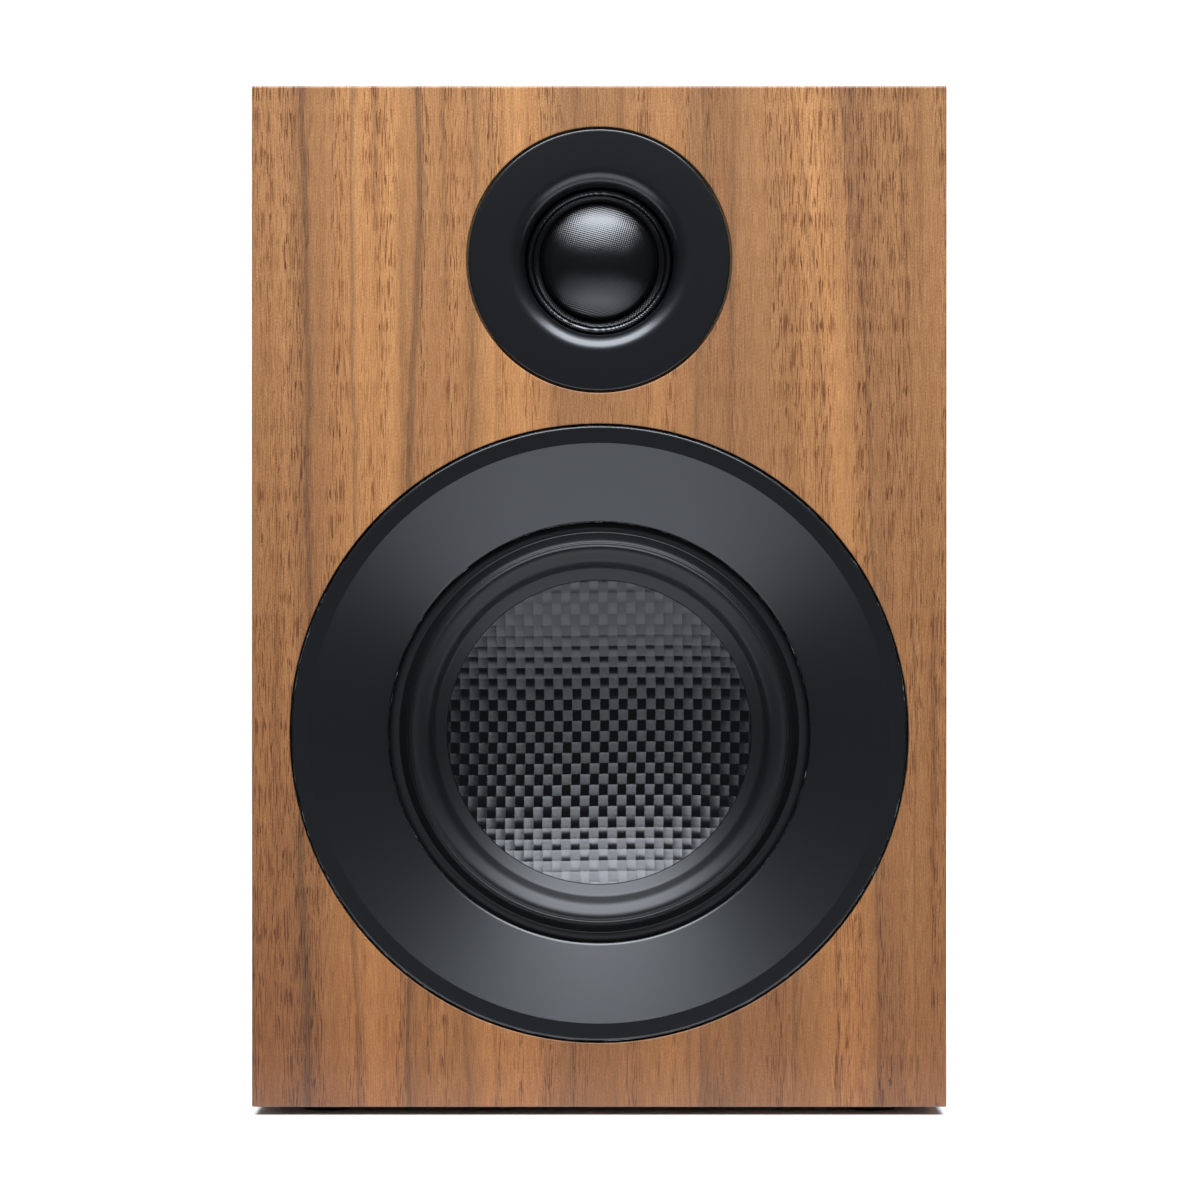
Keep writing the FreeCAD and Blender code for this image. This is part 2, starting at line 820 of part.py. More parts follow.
# ---- terminal cup and binding posts ----
cup_flange_front = cabinet_depth + 0.5
cup_flange_back = cabinet_depth + 3.0
cup_flange_half = (42.5, 31.0)
cup_floor_front = cup_floor_depth - 2.5
cup_screw_clearance = 2.0
collar_radius = 6.75
collar_end = cup_floor_depth + 5.0
washer_radius = 5.6
washer_start = collar_end + fit_gap
washer_end = washer_start + 1.2
nut_start = washer_end + fit_gap
nut_radius = 6.8
nut_end = overall_depth
stud_end = overall_depth - 0.5
stud_start = 164.0
wire_hole_depth = 185.0
socket_floor = 187.3


def cup_outline(half_width, half_height, y_range, corner):
    return rounded_block(
        (-half_width, half_width), y_range, (cup_height - half_height, cup_height + half_height),
        corner,
    )


def terminal_cup():
    """The moulded tray that holds the binding posts below the back surface."""
    half_x, half_z = cup_inner_width / 2, cup_inner_height / 2
    flange = cup_outline(*cup_flange_half, (cup_flange_front, cup_flange_back), 5.0)
    tray = cup_outline(half_x + cup_wall, half_z + cup_wall, (cup_floor_front, cup_flange_back), 7.5)
    space = cup_outline(half_x, half_z, (cup_floor_depth, cup_flange_back), 6.0)
    body = flange.fuse(tray).removeSplitter().cut(space)
    holes = [
        rod((x, cup_height), stud_radius + fit_gap, (cup_floor_front, cup_floor_depth))
        for x in post_places.values()
    ]
    run = (cabinet_depth, cup_flange_back)
    holes += [rod(place, cup_screw_clearance, run) for place in cup_screw_places]
    return cut_all(body, holes)


def terminal_gasket():
    half_x, half_z = cup_inner_width / 2 + cup_wall, cup_inner_height / 2 + cup_wall
    reach = (cup_flange_half[0] - 0.3, cup_flange_half[1] - 0.3)
    run = (cabinet_depth, cup_flange_front)
    sheet = cup_outline(*reach, run, 4.7).cut(cup_outline(half_x + 0.4, half_z + 0.4, run, 7.9))
    return cut_all(sheet, [rod(place, cup_screw_clearance, run) for place in cup_screw_places])


def post_stud(x):
    """A brass stud: fine grooves for its thread, a wire hole and a socket for a plug."""
    centre = (x, cup_height)
    groove, pitch = 0.35, 1.0
    socket_chamfer = 0.4
    wire_hole_radius = 1.4
    thread_start = wire_hole_depth + 3.0
    stud = rod(centre, stud_radius, (stud_start, stud_end))
    grooves = []
    for step in range(int((stud_end - 1.0 - thread_start) / pitch)):
        low = thread_start + step * pitch
        grooves.append(tube(centre, stud_radius - groove, stud_radius + 1.0, (low, low + pitch / 2)))
    socket = rod(centre, socket_radius, (socket_floor, stud_end))
    mouth = Part.makeCone(
        socket_radius, socket_radius + socket_chamfer, socket_chamfer,
        vector(x, stud_end - socket_chamfer, cup_height), vector(0, 1, 0),
    )
    wire_hole = post(
        (x, wire_hole_depth), wire_hole_radius,
        (cup_height - stud_radius - 1.0, cup_height + stud_radius + 1.0),
    )
    return cut_all(stud, grooves + [socket, mouth, wire_hole])


def post_collar(x):
    """The coloured insulating collar between the stud's foot and the clamp washer."""
    centre = (x, cup_height)
    collar = tube(centre, stud_radius + fit_gap, collar_radius, (cup_floor_depth, collar_end))
    rim = [
        e for e in collar.Edges
        if abs(e.CenterOfMass.y - collar_end) < 0.01 and abs(e.Curve.Radius - collar_radius) < 0.01
    ]
    return collar.makeFillet(0.6, rim)


def post_washer(x):
    return tube((x, cup_height), stud_radius + fit_gap, washer_radius, (washer_start, washer_end))


def post_nut(x):
    """The moulded thumb nut with finger grooves down its side."""
    centre = (x, cup_height)
    edge = 0.8
    nut = turned(centre, [
        (stud_radius + fit_gap, nut_start),
        (nut_radius - edge, nut_start),
        (nut_radius, nut_start + edge, 0.23),
        (nut_radius, nut_end - edge),
        (nut_radius - edge, nut_end, 0.23),
        (stud_radius + fit_gap, nut_end),
    ])
    groove_count, groove_radius, groove_depth = 12, 0.9, 0.5
    circle = nut_radius + groove_radius - groove_depth
    places = on_circle(centre, circle, [n * 360 / groove_count for n in range(groove_count)])
    run = (nut_start + 2.0, nut_end + 1.0)
    return cut_all(nut, [rod(place, groove_radius, run) for place in places])


lug_thickness = 0.8
lug_back = cup_floor_front
lug_front = lug_back - lug_thickness
lug_radius = 5.0
lug_tail = 9.5
rear_nut_height = 4.8
rear_nut_across_flats = 10.0


def solder_lug(x):
    """A ring tag under the rear nut, with its tail pointing down."""
    ring = tube((x, cup_height), stud_radius + fit_gap, lug_radius, (lug_front, lug_back))
    tail = block((x - 1.6, x + 1.6), (lug_front, lug_back),
                 (cup_height - lug_tail, cup_height - stud_radius - 1.0))
    return ring.fuse(tail).removeSplitter()


def rear_nut(x):
    centre = (x, cup_height)
    run = (lug_front - rear_nut_height, lug_front)
    bore = rod(centre, stud_radius + fit_gap, run)
    return hexagon(centre, rear_nut_across_flats, run).cut(bore)


save("terminal_cup", terminal_cup())
save("terminal_gasket", terminal_gasket())
save("terminal_screws", *[
    pan_head_screw(place, 3.0, wood_screw_shank, cup_flange_back, 0.5, -cup_screw_length)
    for place in cup_screw_places
])
for colour, place in post_places.items():
    save(f"post_stud_{colour}", post_stud(place))
    save(f"post_collar_{colour}", post_collar(place))
    save(f"post_washer_{colour}", post_washer(place))
    save(f"post_nut_{colour}", post_nut(place))
save("post_rear_nuts", *[rear_nut(x) for x in post_places.values()])
save("solder_lugs", *[solder_lug(x) for x in post_places.values()])


# ---- crossover and wiring ----
board_top = board_level + 1.6


def crossover_board():
    board = block((-50.0, 50.0), (96.0, 169.0), (board_level, board_top))
    holes = [post(hole, board_screw_shank + 0.1, (board_level, board_top)) for hole in board_holes]
    return cut_all(board, holes)


def inductors():
    """Two air-core coils standing on the board."""
    coils = []
    for centre, inner, outer, height in (((-16.0, 121.0), 9.0, 19.0, 17.0),
                                         ((22.0, 114.0), 6.0, 13.0, 12.0)):
        run = (board_top, board_top + height)
        coils.append(post(centre, outer, run).cut(post(centre, inner, run)))
    return coils


def capacitors():
    """Three film capacitors lying along X."""
    cans = []
    for x, y, radius, length in (
        (-36.0, 151.0, 7.0, 32.0), (4.0, 152.0, 6.0, 28.0), (14.0, 136.0, 5.0, 24.0)
    ):
        start = vector(x, y, board_top + radius)
        cans.append(Part.makeCylinder(radius, length, start, vector(1, 0, 0)))
    return cans


def board_fixings():
    """Four spacers with a screw through each into the bottom panel."""
    spacer_radius = 3.2
    head_radius = 2.8
    head_height = 1.8
    fixings = []
    for hole in board_holes:
        run = (inner_bottom, board_level)
        spacer = post(hole, spacer_radius, run).cut(post(hole, board_screw_shank + 0.1, run))
        fixings.append(spacer)
        shank = post(hole, board_screw_shank, (board_screw_end + 0.2, board_top + 0.5))
        head = post(hole, head_radius, (board_top, board_top + head_height))
        fixings.append(shank.fuse(head).removeSplitter())
    return fixings


def hookup_wires():
    """Insulated wires from posts to board, and from board to each driver."""
    radius = 1.0
    board_end = board_top + 0.8
    wires = []
    for side in (-1, 1):
        post_x = side * post_spacing / 2
        lug_face = lug_front - radius - fit_gap
        wires.append(wire_along([
            (post_x, lug_face, cup_height - 6.5), (post_x, lug_face - 0.6, 46.0),
            (post_x + side * 3.0, 170.0, 33.0), (post_x + side * 4.0, 166.0, board_end),
        ], radius))
        level = woofer_height + side * tab_offset
        wires.append(wire_along([
            (58.8, terminal_shelf + 1.85, level), (62.5, 37.0, level - 3.0),
            (60.0, 53.0, level - 22.0), (53.0, 76.0 + side * 2.0, 54.0 + side * 3.0),
            (42.0, 98.0 + side * 3.0, 41.0 + side * 1.5), (40.0, 105.0 + side * 3.0, board_end),
        ], radius))
        wires.append(wire_along([
            (side * tab_offset, chamber_back + 8.8, tweeter_height),
            (side * tab_offset - 6.0, 62.0, tweeter_height - 8.0),
            (-40.0 + side * 2.0, 78.0, 176.0), (-50.0 + side * 2.0, 88.0, 132.0),
            (-50.0 + side * 2.0, 95.0, 88.0), (-42.0 + side * 2.0, 101.0, 50.0),
            (-38.0 + side * 2.0, 108.0, board_end),
        ], radius))
    return wires


save("crossover_board", crossover_board())
save("inductors", *inductors())
save("capacitors", *capacitors())
save("resistor", block((40.0, 49.0), (120.0, 142.0), (board_top, board_top + 9.5)))
save("board_fixings", *board_fixings())
save("hookup_wires", *hookup_wires())
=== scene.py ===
"""Two-way bookshelf speaker: a walnut-veneered box, a silk dome tweeter, a woven carbon woofer.

Metres, +Z up, the drivers face -Y. The file follows the speaker as it is put together.
"""

import bmesh
import bpy
import numpy as np
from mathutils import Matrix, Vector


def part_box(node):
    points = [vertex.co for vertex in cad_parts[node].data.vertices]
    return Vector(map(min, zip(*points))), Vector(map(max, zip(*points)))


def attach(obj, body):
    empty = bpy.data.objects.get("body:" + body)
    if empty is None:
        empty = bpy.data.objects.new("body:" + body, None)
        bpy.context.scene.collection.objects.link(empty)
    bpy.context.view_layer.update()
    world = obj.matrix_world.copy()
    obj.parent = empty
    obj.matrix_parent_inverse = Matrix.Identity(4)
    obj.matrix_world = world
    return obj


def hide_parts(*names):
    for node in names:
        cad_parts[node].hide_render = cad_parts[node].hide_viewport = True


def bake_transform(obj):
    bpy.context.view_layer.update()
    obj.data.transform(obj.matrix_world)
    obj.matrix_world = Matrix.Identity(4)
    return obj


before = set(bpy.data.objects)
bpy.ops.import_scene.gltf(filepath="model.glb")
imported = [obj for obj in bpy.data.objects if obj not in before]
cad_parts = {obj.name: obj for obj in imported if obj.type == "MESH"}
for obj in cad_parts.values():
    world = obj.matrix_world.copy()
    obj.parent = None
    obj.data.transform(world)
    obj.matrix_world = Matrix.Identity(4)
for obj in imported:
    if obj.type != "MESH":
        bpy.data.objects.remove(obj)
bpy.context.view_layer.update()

# ---- Studio ----
# A pale matt table top that ends just in front of the speaker, a wide softbox hung in front and
# above, a reflector card below the table's edge, and a softbox that keeps the backdrop white.
# The camera stands square in front of the baffle, level with its middle.
mm = 0.001
front_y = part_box("veneer_front")[0][1]
view_width = 284.9 * mm
camera_distance = 1.15
camera_shift = 0.2 * mm
camera_height = 122.4 * mm
camera_data = bpy.data.cameras.new("camera")
camera_data.lens = camera_data.sensor_width * camera_distance / view_width
camera = bpy.data.objects.new("camera", camera_data)
camera.location = (camera_shift, front_y - camera_distance, camera_height)
camera.rotation_euler = (np.pi / 2, 0, 0)
bpy.context.scene.collection.objects.link(camera)
bpy.context.scene.camera = camera
bpy.context.scene.view_settings.view_transform = "Standard"


def linear(colour):
    """A colour for a shader from its sRGB hex value: each channel is undone from the sRGB curve."""
    channels = np.array([int(colour[i:i + 2], 16) for i in (1, 3, 5)]) / 255
    low = channels / 12.92
    high = ((channels + 0.055) / 1.055) ** 2.4
    return (*np.where(channels <= 0.04045, low, high).tolist(), 1.0)


def add(owner, kind, values=None, links=None, **settings):
    """Adds one node: settings are its own, values fill its sockets and links feed them."""
    node = owner.node_tree.nodes.new(kind)
    for name, value in settings.items():
        setattr(node, name, value)
    for socket, value in (values or {}).items():
        node.inputs[socket].default_value = value
    for socket, source in (links or {}).items():
        owner.node_tree.links.new(source, node.inputs[socket])
    return node


# Each softbox: its name, its watts, its width and length, its place, and how far it is tipped over.
softboxes = (("key", 64, (1.45, 1.3), (0, front_y - 0.83, 1.2), 0),
             ("backdrop_light", 34, (1.8, 1.2), (0, 0.95, 1.25), 0),
             ("reflector_card", 2.9, (0.9, 0.5), (0, front_y - 0.5, -0.25), np.pi))
for name, energy, size, place, tip in softboxes:
    light = bpy.data.lights.new(name, "AREA")
    light.shape = "RECTANGLE"
    light.size, light.size_y = size
    light.energy = energy
    light.color = linear("#eef5ff")[:3]
    softbox = bpy.data.objects.new(name, light)
    softbox.location = place
    softbox.rotation_euler = (tip, 0, 0)
    softbox.visible_camera = False
    bpy.context.scene.collection.objects.link(softbox)

room = bpy.data.worlds.new("room")
room.use_nodes = True
room.node_tree.nodes.clear()
rays = add(room, "ShaderNodeLightPath").outputs
# The room is dim to matt surfaces, dimmer still in reflections, and white behind the speaker.
reflected = add(room, "ShaderNodeMix", {"A": 0.35, "B": 0.07}, {"Factor": rays["Is Glossy Ray"]})
seen = add(room, "ShaderNodeMix", {"B": 1.2},
           {"Factor": rays["Is Camera Ray"], "A": reflected.outputs[0]})
sky = add(room, "ShaderNodeBackground", {"Color": linear("#f4f8ff")}, {"Strength": seen.outputs[0]})
add(room, "ShaderNodeOutputWorld", links={"Surface": sky.outputs[0]})
bpy.context.scene.world = room
room.cycles.sampling_method = "NONE"


def surface(name, places, around=False, closed=False):
    """A mesh object through an array of places (rows, columns, xyz), a face between each four.

    around joins the last column to the first, closed joins the last row to the first; points
    that fall together, as at a pole, become one, and the faces are turned outwards.
    """
    rows, columns = places.shape[:2]
    index = np.arange(rows * columns).reshape(rows, columns)
    if around:
        index = np.concatenate([index, index[:, :1]], axis=1)
    if closed:
        index = np.concatenate([index, index[:1]], axis=0)
    faces = np.stack([index[:-1, :-1], index[:-1, 1:], index[1:, 1:], index[1:, :-1]], axis=-1)
    return solid(name, places.reshape(-1, 3), faces.reshape(-1, 4))


def solid(name, places, faces):
    """A smooth-shaded mesh object from places and four-cornered faces, cleaned of doubles."""
    mesh = bpy.data.meshes.new(name)
    mesh.from_pydata(places, [], faces)
    shape = bmesh.new()
    shape.from_mesh(mesh)
    bmesh.ops.remove_doubles(shape, verts=shape.verts, dist=1e-6)
    bmesh.ops.recalc_face_normals(shape, faces=shape.faces)
    shape.to_mesh(mesh)
    shape.free()
    mesh.polygons.foreach_set("use_smooth", np.ones(len(mesh.polygons), bool))
    piece = bpy.data.objects.new(name, mesh)
    bpy.context.scene.collection.objects.link(piece)
    return piece


def start(name, values):
    """A material and its Principled shader, with the socket values that are the same all over."""
    material = bpy.data.materials.new(name)
    material.use_nodes = True
    material.node_tree.nodes.clear()
    shader = add(material, "ShaderNodeBsdfPrincipled", values)
    add(material, "ShaderNodeOutputMaterial", links={"Surface": shader.outputs[0]})
    return material, shader


def grained(name, colour, grain, relief, values, shade=0.2):
    """A material of one colour with an even grain: noise of grain mm shifts tone and height."""
    material, shader = start(name, values)
    place = add(material, "ShaderNodeTexCoord").outputs["Object"]
    noise = add(material, "ShaderNodeTexNoise", {"Scale": 1 / (grain * mm), "Detail": 3},
                {"Vector": place})
    tone = add(material, "ShaderNodeMapRange", {"To Min": 1 - shade, "To Max": 1 + shade},
               {"Value": noise.outputs["Fac"]})
    tinted = add(material, "ShaderNodeVectorMath", {0: linear(colour)[:3]},
                 {"Scale": tone.outputs[0]}, operation="SCALE")
    bump = add(material, "ShaderNodeBump", {"Distance": relief * mm, "Strength": 1.0},
               {"Height": noise.outputs["Fac"]})
    material.node_tree.links.new(tinted.outputs[0], shader.inputs["Base Color"])
    material.node_tree.links.new(bump.outputs[0], shader.inputs["Normal"])
    return material


floor_x, floor_y = np.meshgrid(np.linspace(-3, 3, 13), np.linspace(front_y - 0.05, 1.5, 13))
floor = surface("floor", np.stack([floor_x, floor_y, np.zeros_like(floor_x)], axis=-1))
# Painted board, rolled matt: an even pale tone with no gloss.
painted_board = grained("painted_board", "#f7f7f7", 40, 0, {"Roughness": 0.9}, shade=0.01)
floor.data.materials.append(painted_board)


# ---- Box ----
# Five panels of raw medium-density fibreboard, mitred and glued round a thicker baffle, and a
# black foil-faced back let into a rebate. None of the raw board shows once the box is veneered,
# apart from the walls of the two stepped holes.


def dress(material, *nodes):
    """Gives CAD nodes this material in place of the plain one that they come with."""
    for node in nodes:
        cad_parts[node].data.materials.clear()
        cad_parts[node].data.materials.append(material)


# Raw MDF, sawn and routed: a dull tan with a fine felted speckle.
raw_board = grained("mdf_routed", "#a98c69", 0.5, 0.02, {"Roughness": 0.9})
dress(raw_board, "front_baffle", "left_panel", "right_panel", "top_panel", "bottom_panel")
# Black foil laminated on MDF: an even black satin with a faint pressed grain.
dress(grained("black_foil_laminated", "#17181a", 0.7, 0.03, {"Roughness": 0.5}), "back_panel")
# Moulded rubber, straight from the mould: dull black with a fine spark-eroded grain.
dress(grained("rubber_moulded", "#121213", 0.4, 0.02, {"Roughness": 0.75}), "rubber_feet")


# ---- Walnut veneer ----
# Leaves 0.6 mm thick, sliced from one walnut flitch, glued on and clear-lacquered satin. The
# grain stands upright on the front and sides, and runs across the top and bottom. The outer
# edges are eased with fine paper, so they catch a thin line of light.
veneer_low, veneer_high = (np.array(corner) / mm for corner in (
    np.minimum(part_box("veneer_front")[0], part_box("veneer_bottom")[0]),
    np.maximum(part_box("veneer_front")[1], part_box("rear_edging")[1])))
veneer_thick = 0.6
half_leaf = 82.5
eased = 0.5
eased_reach = 0.8
hole_ease = 0.12


def on_front(sideways, depth, upright):
    """Places in metres from mm: sideways off the middle, depth behind the front, height upright."""
    sideways, depth, upright = np.broadcast_arrays(sideways, depth, upright)
    return np.stack([sideways * mm, front_y + depth * mm, upright * mm], axis=-1)


def rectangle(inset, step=6):
    """The outline of the box's front, inset by so many mm.

    Each corner is a quarter circle of equal steps, of radius eased_reach less the inset, and the
    sides between them are straight.
    """
    radius = eased_reach - inset
    angle = (np.arange(4)[:, None] * 90 + np.linspace(0, 90, step)[None]) * np.pi / 180
    side = np.array([1, -1, -1, 1])[:, None]
    top = np.array([1, 1, -1, -1])[:, None]
    middle = (veneer_low[2] + veneer_high[2]) / 2
    half_height = (veneer_high[2] - veneer_low[2]) / 2
    sideways = side * (veneer_high[0] - eased_reach) + radius * np.cos(angle)
    upright = middle + top * (half_height - eased_reach) + radius * np.sin(angle)
    return sideways.ravel(), upright.ravel()


def rim(name, depths, insets):
    """A strip round the box, one turn of the rectangle at each depth and inset in mm."""
    turns = [on_front(*np.insert(np.array(rectangle(inset)), 1, depth, axis=0))
             for depth, inset in zip(depths, insets)]
    return surface(name, np.array(turns), around=True)


def round_hole(name, centre, radius, low, high):
    """A flat sheet from a round hole, its edge eased, out to a rectangle from low to high.

    Each column follows a ray from the hole's centre. The rays go to the corners as well as to
    even angles, so the rectangle comes out exact. A ring close round the edge keeps it crisp.
    """
    rays = 240
    ring = 0.4
    reach = (veneer_high[0] - eased_reach) * np.array([1, 1, -1, -1])
    rise = np.array([high, low, low, high]) - centre
    even = np.linspace(-np.pi, np.pi, rays + 1)[:-1]
    angle = np.sort(np.concatenate([even, np.arctan2(rise, reach)]))
    across, upwards = np.cos(angle), np.sin(angle)
    room_upright = np.where(upwards > 0, high - centre, centre - low)
    limit = np.minimum(reach[0] / np.maximum(np.abs(across), 1e-9),
                       room_upright / np.maximum(np.abs(upwards), 1e-9))
    edge = np.array([[0, veneer_thick], [0, hole_ease], [0.29 * hole_ease, 0.29 * hole_ease],
                     [hole_ease, 0]])
    out = np.concatenate([radius + edge[:, :1] + 0 * angle, radius + ring + 0 * angle[None],
                          limit[None]])
    depth = np.concatenate([edge[:, 1], [0, 0]])[:, None]
    return surface(name, on_front(out * across, depth, centre + out * upwards), around=True)


def joined(name, pieces):
    """One object from several, under a new name."""
    with bpy.context.temp_override(active_object=pieces[0], selected_editable_objects=pieces):
        bpy.ops.object.join()
    pieces[0].name = name
    return pieces[0]


def walnut(name, across, along, shift, lean, painted_shade_at_foot):
    """Walnut veneer, sliced and lacquered: broad bands, cathedral figure, seams, fibres and pores.

    across and along are the axes over and with the grain. The tone is a row of colours read at
    the place across the grain in mm, plus shift, plus a slow waviness, less lean times a bulge
    that grows down the leaf: max(0, 1 - ((u - 50) / 26)^2) h / (1 + h / 160), which bends the
    bands to the right of the middle into arches. A second row, read at the same place, inks in
    the dark seams, and smoky streaks lie over both. Finer noise then multiplies the tone. Painted
    shade then darkens it to about painted_shade_at_foot at the foot, and a little lower at the
    sides. Green goes as its power 1.35 and blue as its power 1.8, so that the darker wood is the
    redder.
    """
    material, shader = start(name, {"Roughness": 0.42, "Coat Weight": 0.15, "Coat Roughness": 0.3})
    place = add(material, "ShaderNodeTexCoord").outputs["Object"]
    axes = add(material, "ShaderNodeSeparateXYZ", links={0: place})
    grain = add(material, "ShaderNodeCombineXYZ",
                links={0: axes.outputs[across], 1: axes.outputs[along]})

    def streaks(wide, long, detail):
        """Noise stretched with the grain, wide by long in mm."""
        size = add(material, "ShaderNodeVectorMath", {1: (1 / (wide * mm), 1 / (long * mm), 0)},
                   {0: grain.outputs[0]}, operation="MULTIPLY")
        return add(material, "ShaderNodeTexNoise", {"Scale": 1, "Detail": detail},
                   {"Vector": size.outputs[0]})

    def reading(source, low, high, to_low, to_high, clamp=True):
        """A value between low and high brought evenly to between to_low and to_high."""
        return add(material, "ShaderNodeMapRange",
                   {"From Min": low, "From Max": high, "To Min": to_low, "To Max": to_high},
                   {"Value": source}, clamp=clamp).outputs[0]

    def worked(operation, first, second):
        """Two values put together, either of them a socket or a number."""
        pair = {0: first, 1: second}
        sockets = {key: value for key, value in pair.items() if not isinstance(value, (int, float))}
        numbers = {key: value for key, value in pair.items() if key not in sockets}
        return add(material, "ShaderNodeMath", numbers, sockets, operation=operation).outputs[0]

    def row(source, stops):
        """Colours at places in mm across the leaf, with an even run from each to the next."""
        ramp = add(material, "ShaderNodeValToRGB",
                   links={0: reading(source, -half_leaf, half_leaf, 0, 1)})
        for _ in stops[2:]:
            ramp.color_ramp.elements.new(0.5)
        for stop, (place_across, colour) in zip(ramp.color_ramp.elements, stops):
            stop.position = (place_across + half_leaf) / (2 * half_leaf)
            stop.color = colour
        return ramp.outputs[0]

    # Where each place reads its tone: mm over the grain, waved, rippled and pulled into arches.
    arch_middle, arch_reach, arch_slows = 50.0, 26.0, 160.0
    over = reading(axes.outputs[across], -1, 1, -1000 + shift, 1000 + shift, clamp=False)
    down = reading(axes.outputs[along], 0, 1, veneer_high[2], veneer_high[2] - 1000, clamp=False)
    arch = worked("DIVIDE", worked("SUBTRACT", over, arch_middle), arch_reach)
    arch = worked("MAXIMUM", worked("SUBTRACT", 1.0, worked("MULTIPLY", arch, arch)), 0.0)
    fall = worked("DIVIDE", down, worked("ADD", worked("DIVIDE", down, arch_slows), 1.0))
    arch = worked("MULTIPLY", worked("MULTIPLY", arch, fall), lean)
    wave = reading(streaks(34, 150, 1).outputs[0], 0, 1, -5.0, 5.0)
    ripple = reading(streaks(7, 40, 2).outputs[0], 0, 1, -1.4, 1.4)
    read = worked("SUBTRACT", worked("ADD", over, worked("ADD", wave, ripple)), arch)
    # Four tones of one flitch, laid in broad bands with an even run from each to the next.
    umber, brown, tan, pale = (linear(tone) for tone in ("#a47856", "#ae8059", "#ba8960", "#c99568"))
    bands_across = row(read, [
        (-half_leaf, brown), (-76, tan), (-70, umber), (-62, tan), (-55, pale), (-50, pale), (-45, brown),
        (-36, tan), (-30, brown), (-26, pale), (-17, pale), (-9, umber), (8, brown), (16, tan),
        (26, umber), (36, brown), (48, pale), (60, umber), (72, brown), (half_leaf, brown)])

    # Thin seams of dark colour between years of growth, sharp on one side and fading on the other:
    # where each lies, how dark it is, and how many mm it takes to fade.
    jag = reading(streaks(0.9, 5, 2).outputs[0], 0, 1, -0.5, 0.5)
    seams = [(-half_leaf, 0)]
    for at, depth, fade in ((-76.5, 0.25, 1.5), (-69.5, 0.7, 2.2), (-58, 0.5, 1.4), (-45, 0.75, 2.0),
                            (-31, 0.35, 1.2), (-24.5, 0.3, 1.2), (23.5, 0.5, 1.8), (44, 0.45, 1.3),
                            (57, 0.55, 2.2), (72.5, 0.55, 1.6)):
        seams += [(at - 0.3, 0), (at, depth), (at + 0.7 * fade, 0)]
    seams += [(half_leaf, 0)]
    seam = row(worked("ADD", read, jag), [(at, (depth, depth, depth, 1)) for at, depth in seams])
    smoke = reading(streaks(2.5, 150, 3).outputs[0], 0.55, 0.75, 0, 0.35)
    inked = add(material, "ShaderNodeMix", {7: linear("#523c31")},
                {0: worked("MAXIMUM", seam, smoke), 6: bands_across}, data_type="RGBA")

    # Light and dark multipliers: bands, fibres, speckle, and pores that lie thick near the edges.
    bands = reading(streaks(4, 160, 2).outputs[0], 0.3, 0.7, 0.92, 1.08)
    fibres = reading(streaks(0.2, 6, 3).outputs[0], 0.3, 0.7, 0.82, 1.18)
    speckle = reading(streaks(0.28, 0.5, 2).outputs[0], 0.3, 0.7, 0.84, 1.16)
    outer = reading(worked("ABSOLUTE", over, 0.0), 40, 75, 0, 0.08)
    thick = reading(worked("ADD", streaks(5, 140, 2).outputs[0], outer), 0.48, 0.62, 0.2, 1)
    pore = worked("MAXIMUM", reading(streaks(0.22, 8, 0).outputs[0], 0.58, 0.66, 0, 0.5),
                  reading(streaks(0.27, 5, 1).outputs[0], 0.6, 0.66, 0, 0.68))
    hollow = worked("MULTIPLY", pore, thick)
    tone = worked("MULTIPLY", worked("MULTIPLY", bands, fibres), speckle)
    tone = worked("MULTIPLY", tone, worked("SUBTRACT", 1.0, hollow))

    # Painted shade: the leaf is darkened down to its foot, and most of all at the foot of its two sides,
    # where light falls off.
    foot = worked("SUBTRACT", reading(over, -half_leaf, half_leaf, painted_shade_at_foot - 0.1, painted_shade_at_foot + 0.04),
                  reading(worked("ABSOLUTE", over, 0.0), 40, 80, 0, 0.12))
    height = worked("POWER", reading(axes.outputs[along], 0, veneer_high[2] * mm, 0, 1), 0.65)
    shade = worked("ADD", foot, worked("MULTIPLY", worked("SUBTRACT", 1.06, foot), height))
    tone = worked("MULTIPLY", tone, shade)
    lacquer = (0.63, 0.545, 0.385)
    lacquered = add(material, "ShaderNodeVectorMath", {1: lacquer}, {0: inked.outputs[2]},
                    operation="MULTIPLY")
    warm = add(material, "ShaderNodeCombineXYZ", links={
        0: tone, 1: worked("POWER", tone, 1.35), 2: worked("POWER", tone, 1.8)})
    tinted = add(material, "ShaderNodeVectorMath", links={0: lacquered.outputs[0], 1: warm.outputs[0]},
                 operation="MULTIPLY")
    relief = add(material, "ShaderNodeBump", {"Distance": 0.03 * mm, "Strength": 1.0}, {"Height": tone})
    material.node_tree.links.new(tinted.outputs[0], shader.inputs["Base Color"])
    material.node_tree.links.new(relief.outputs[0], shader.inputs["Normal"])
    return material


# Walnut, sliced and lacquered: warm brown bands with dark seams, and pores that the satin coat
# bridges, so they show as short strokes and not as pits. The front leaf carries the strongest
# painted shade, darkest at its foot.
# The last figure, 0.65, is the painted shade at the foot of the front leaf.
front_walnut = walnut("walnut_sliced_front", "X", "Z", 0.0, 0.16, 0.65)
eased_turn = np.linspace(0, np.pi / 2, 6)
woofer_hole = (90.75, 73.6)
tweeter_hole = (203.2, 31.65)
between_holes = 168.0
front_leaf = joined("front_veneer", [
    round_hole("below", *woofer_hole, veneer_low[2] + eased_reach, between_holes),
    round_hole("above", *tweeter_hole, between_holes, veneer_high[2] - eased_reach),
    rim("edge", [0, *(eased * (1 - np.cos(eased_turn))), veneer_thick],
        [eased_reach, *(eased * (1 - np.sin(eased_turn))), 0])])
front_leaf.data.materials.append(front_walnut)
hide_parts("veneer_front")
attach(front_leaf, "cabinet")
# Painted shade on the side, top and bottom leaves is milder: each is darkened to about 0.95 at its foot.
even_painted_foot_shade = 0.95
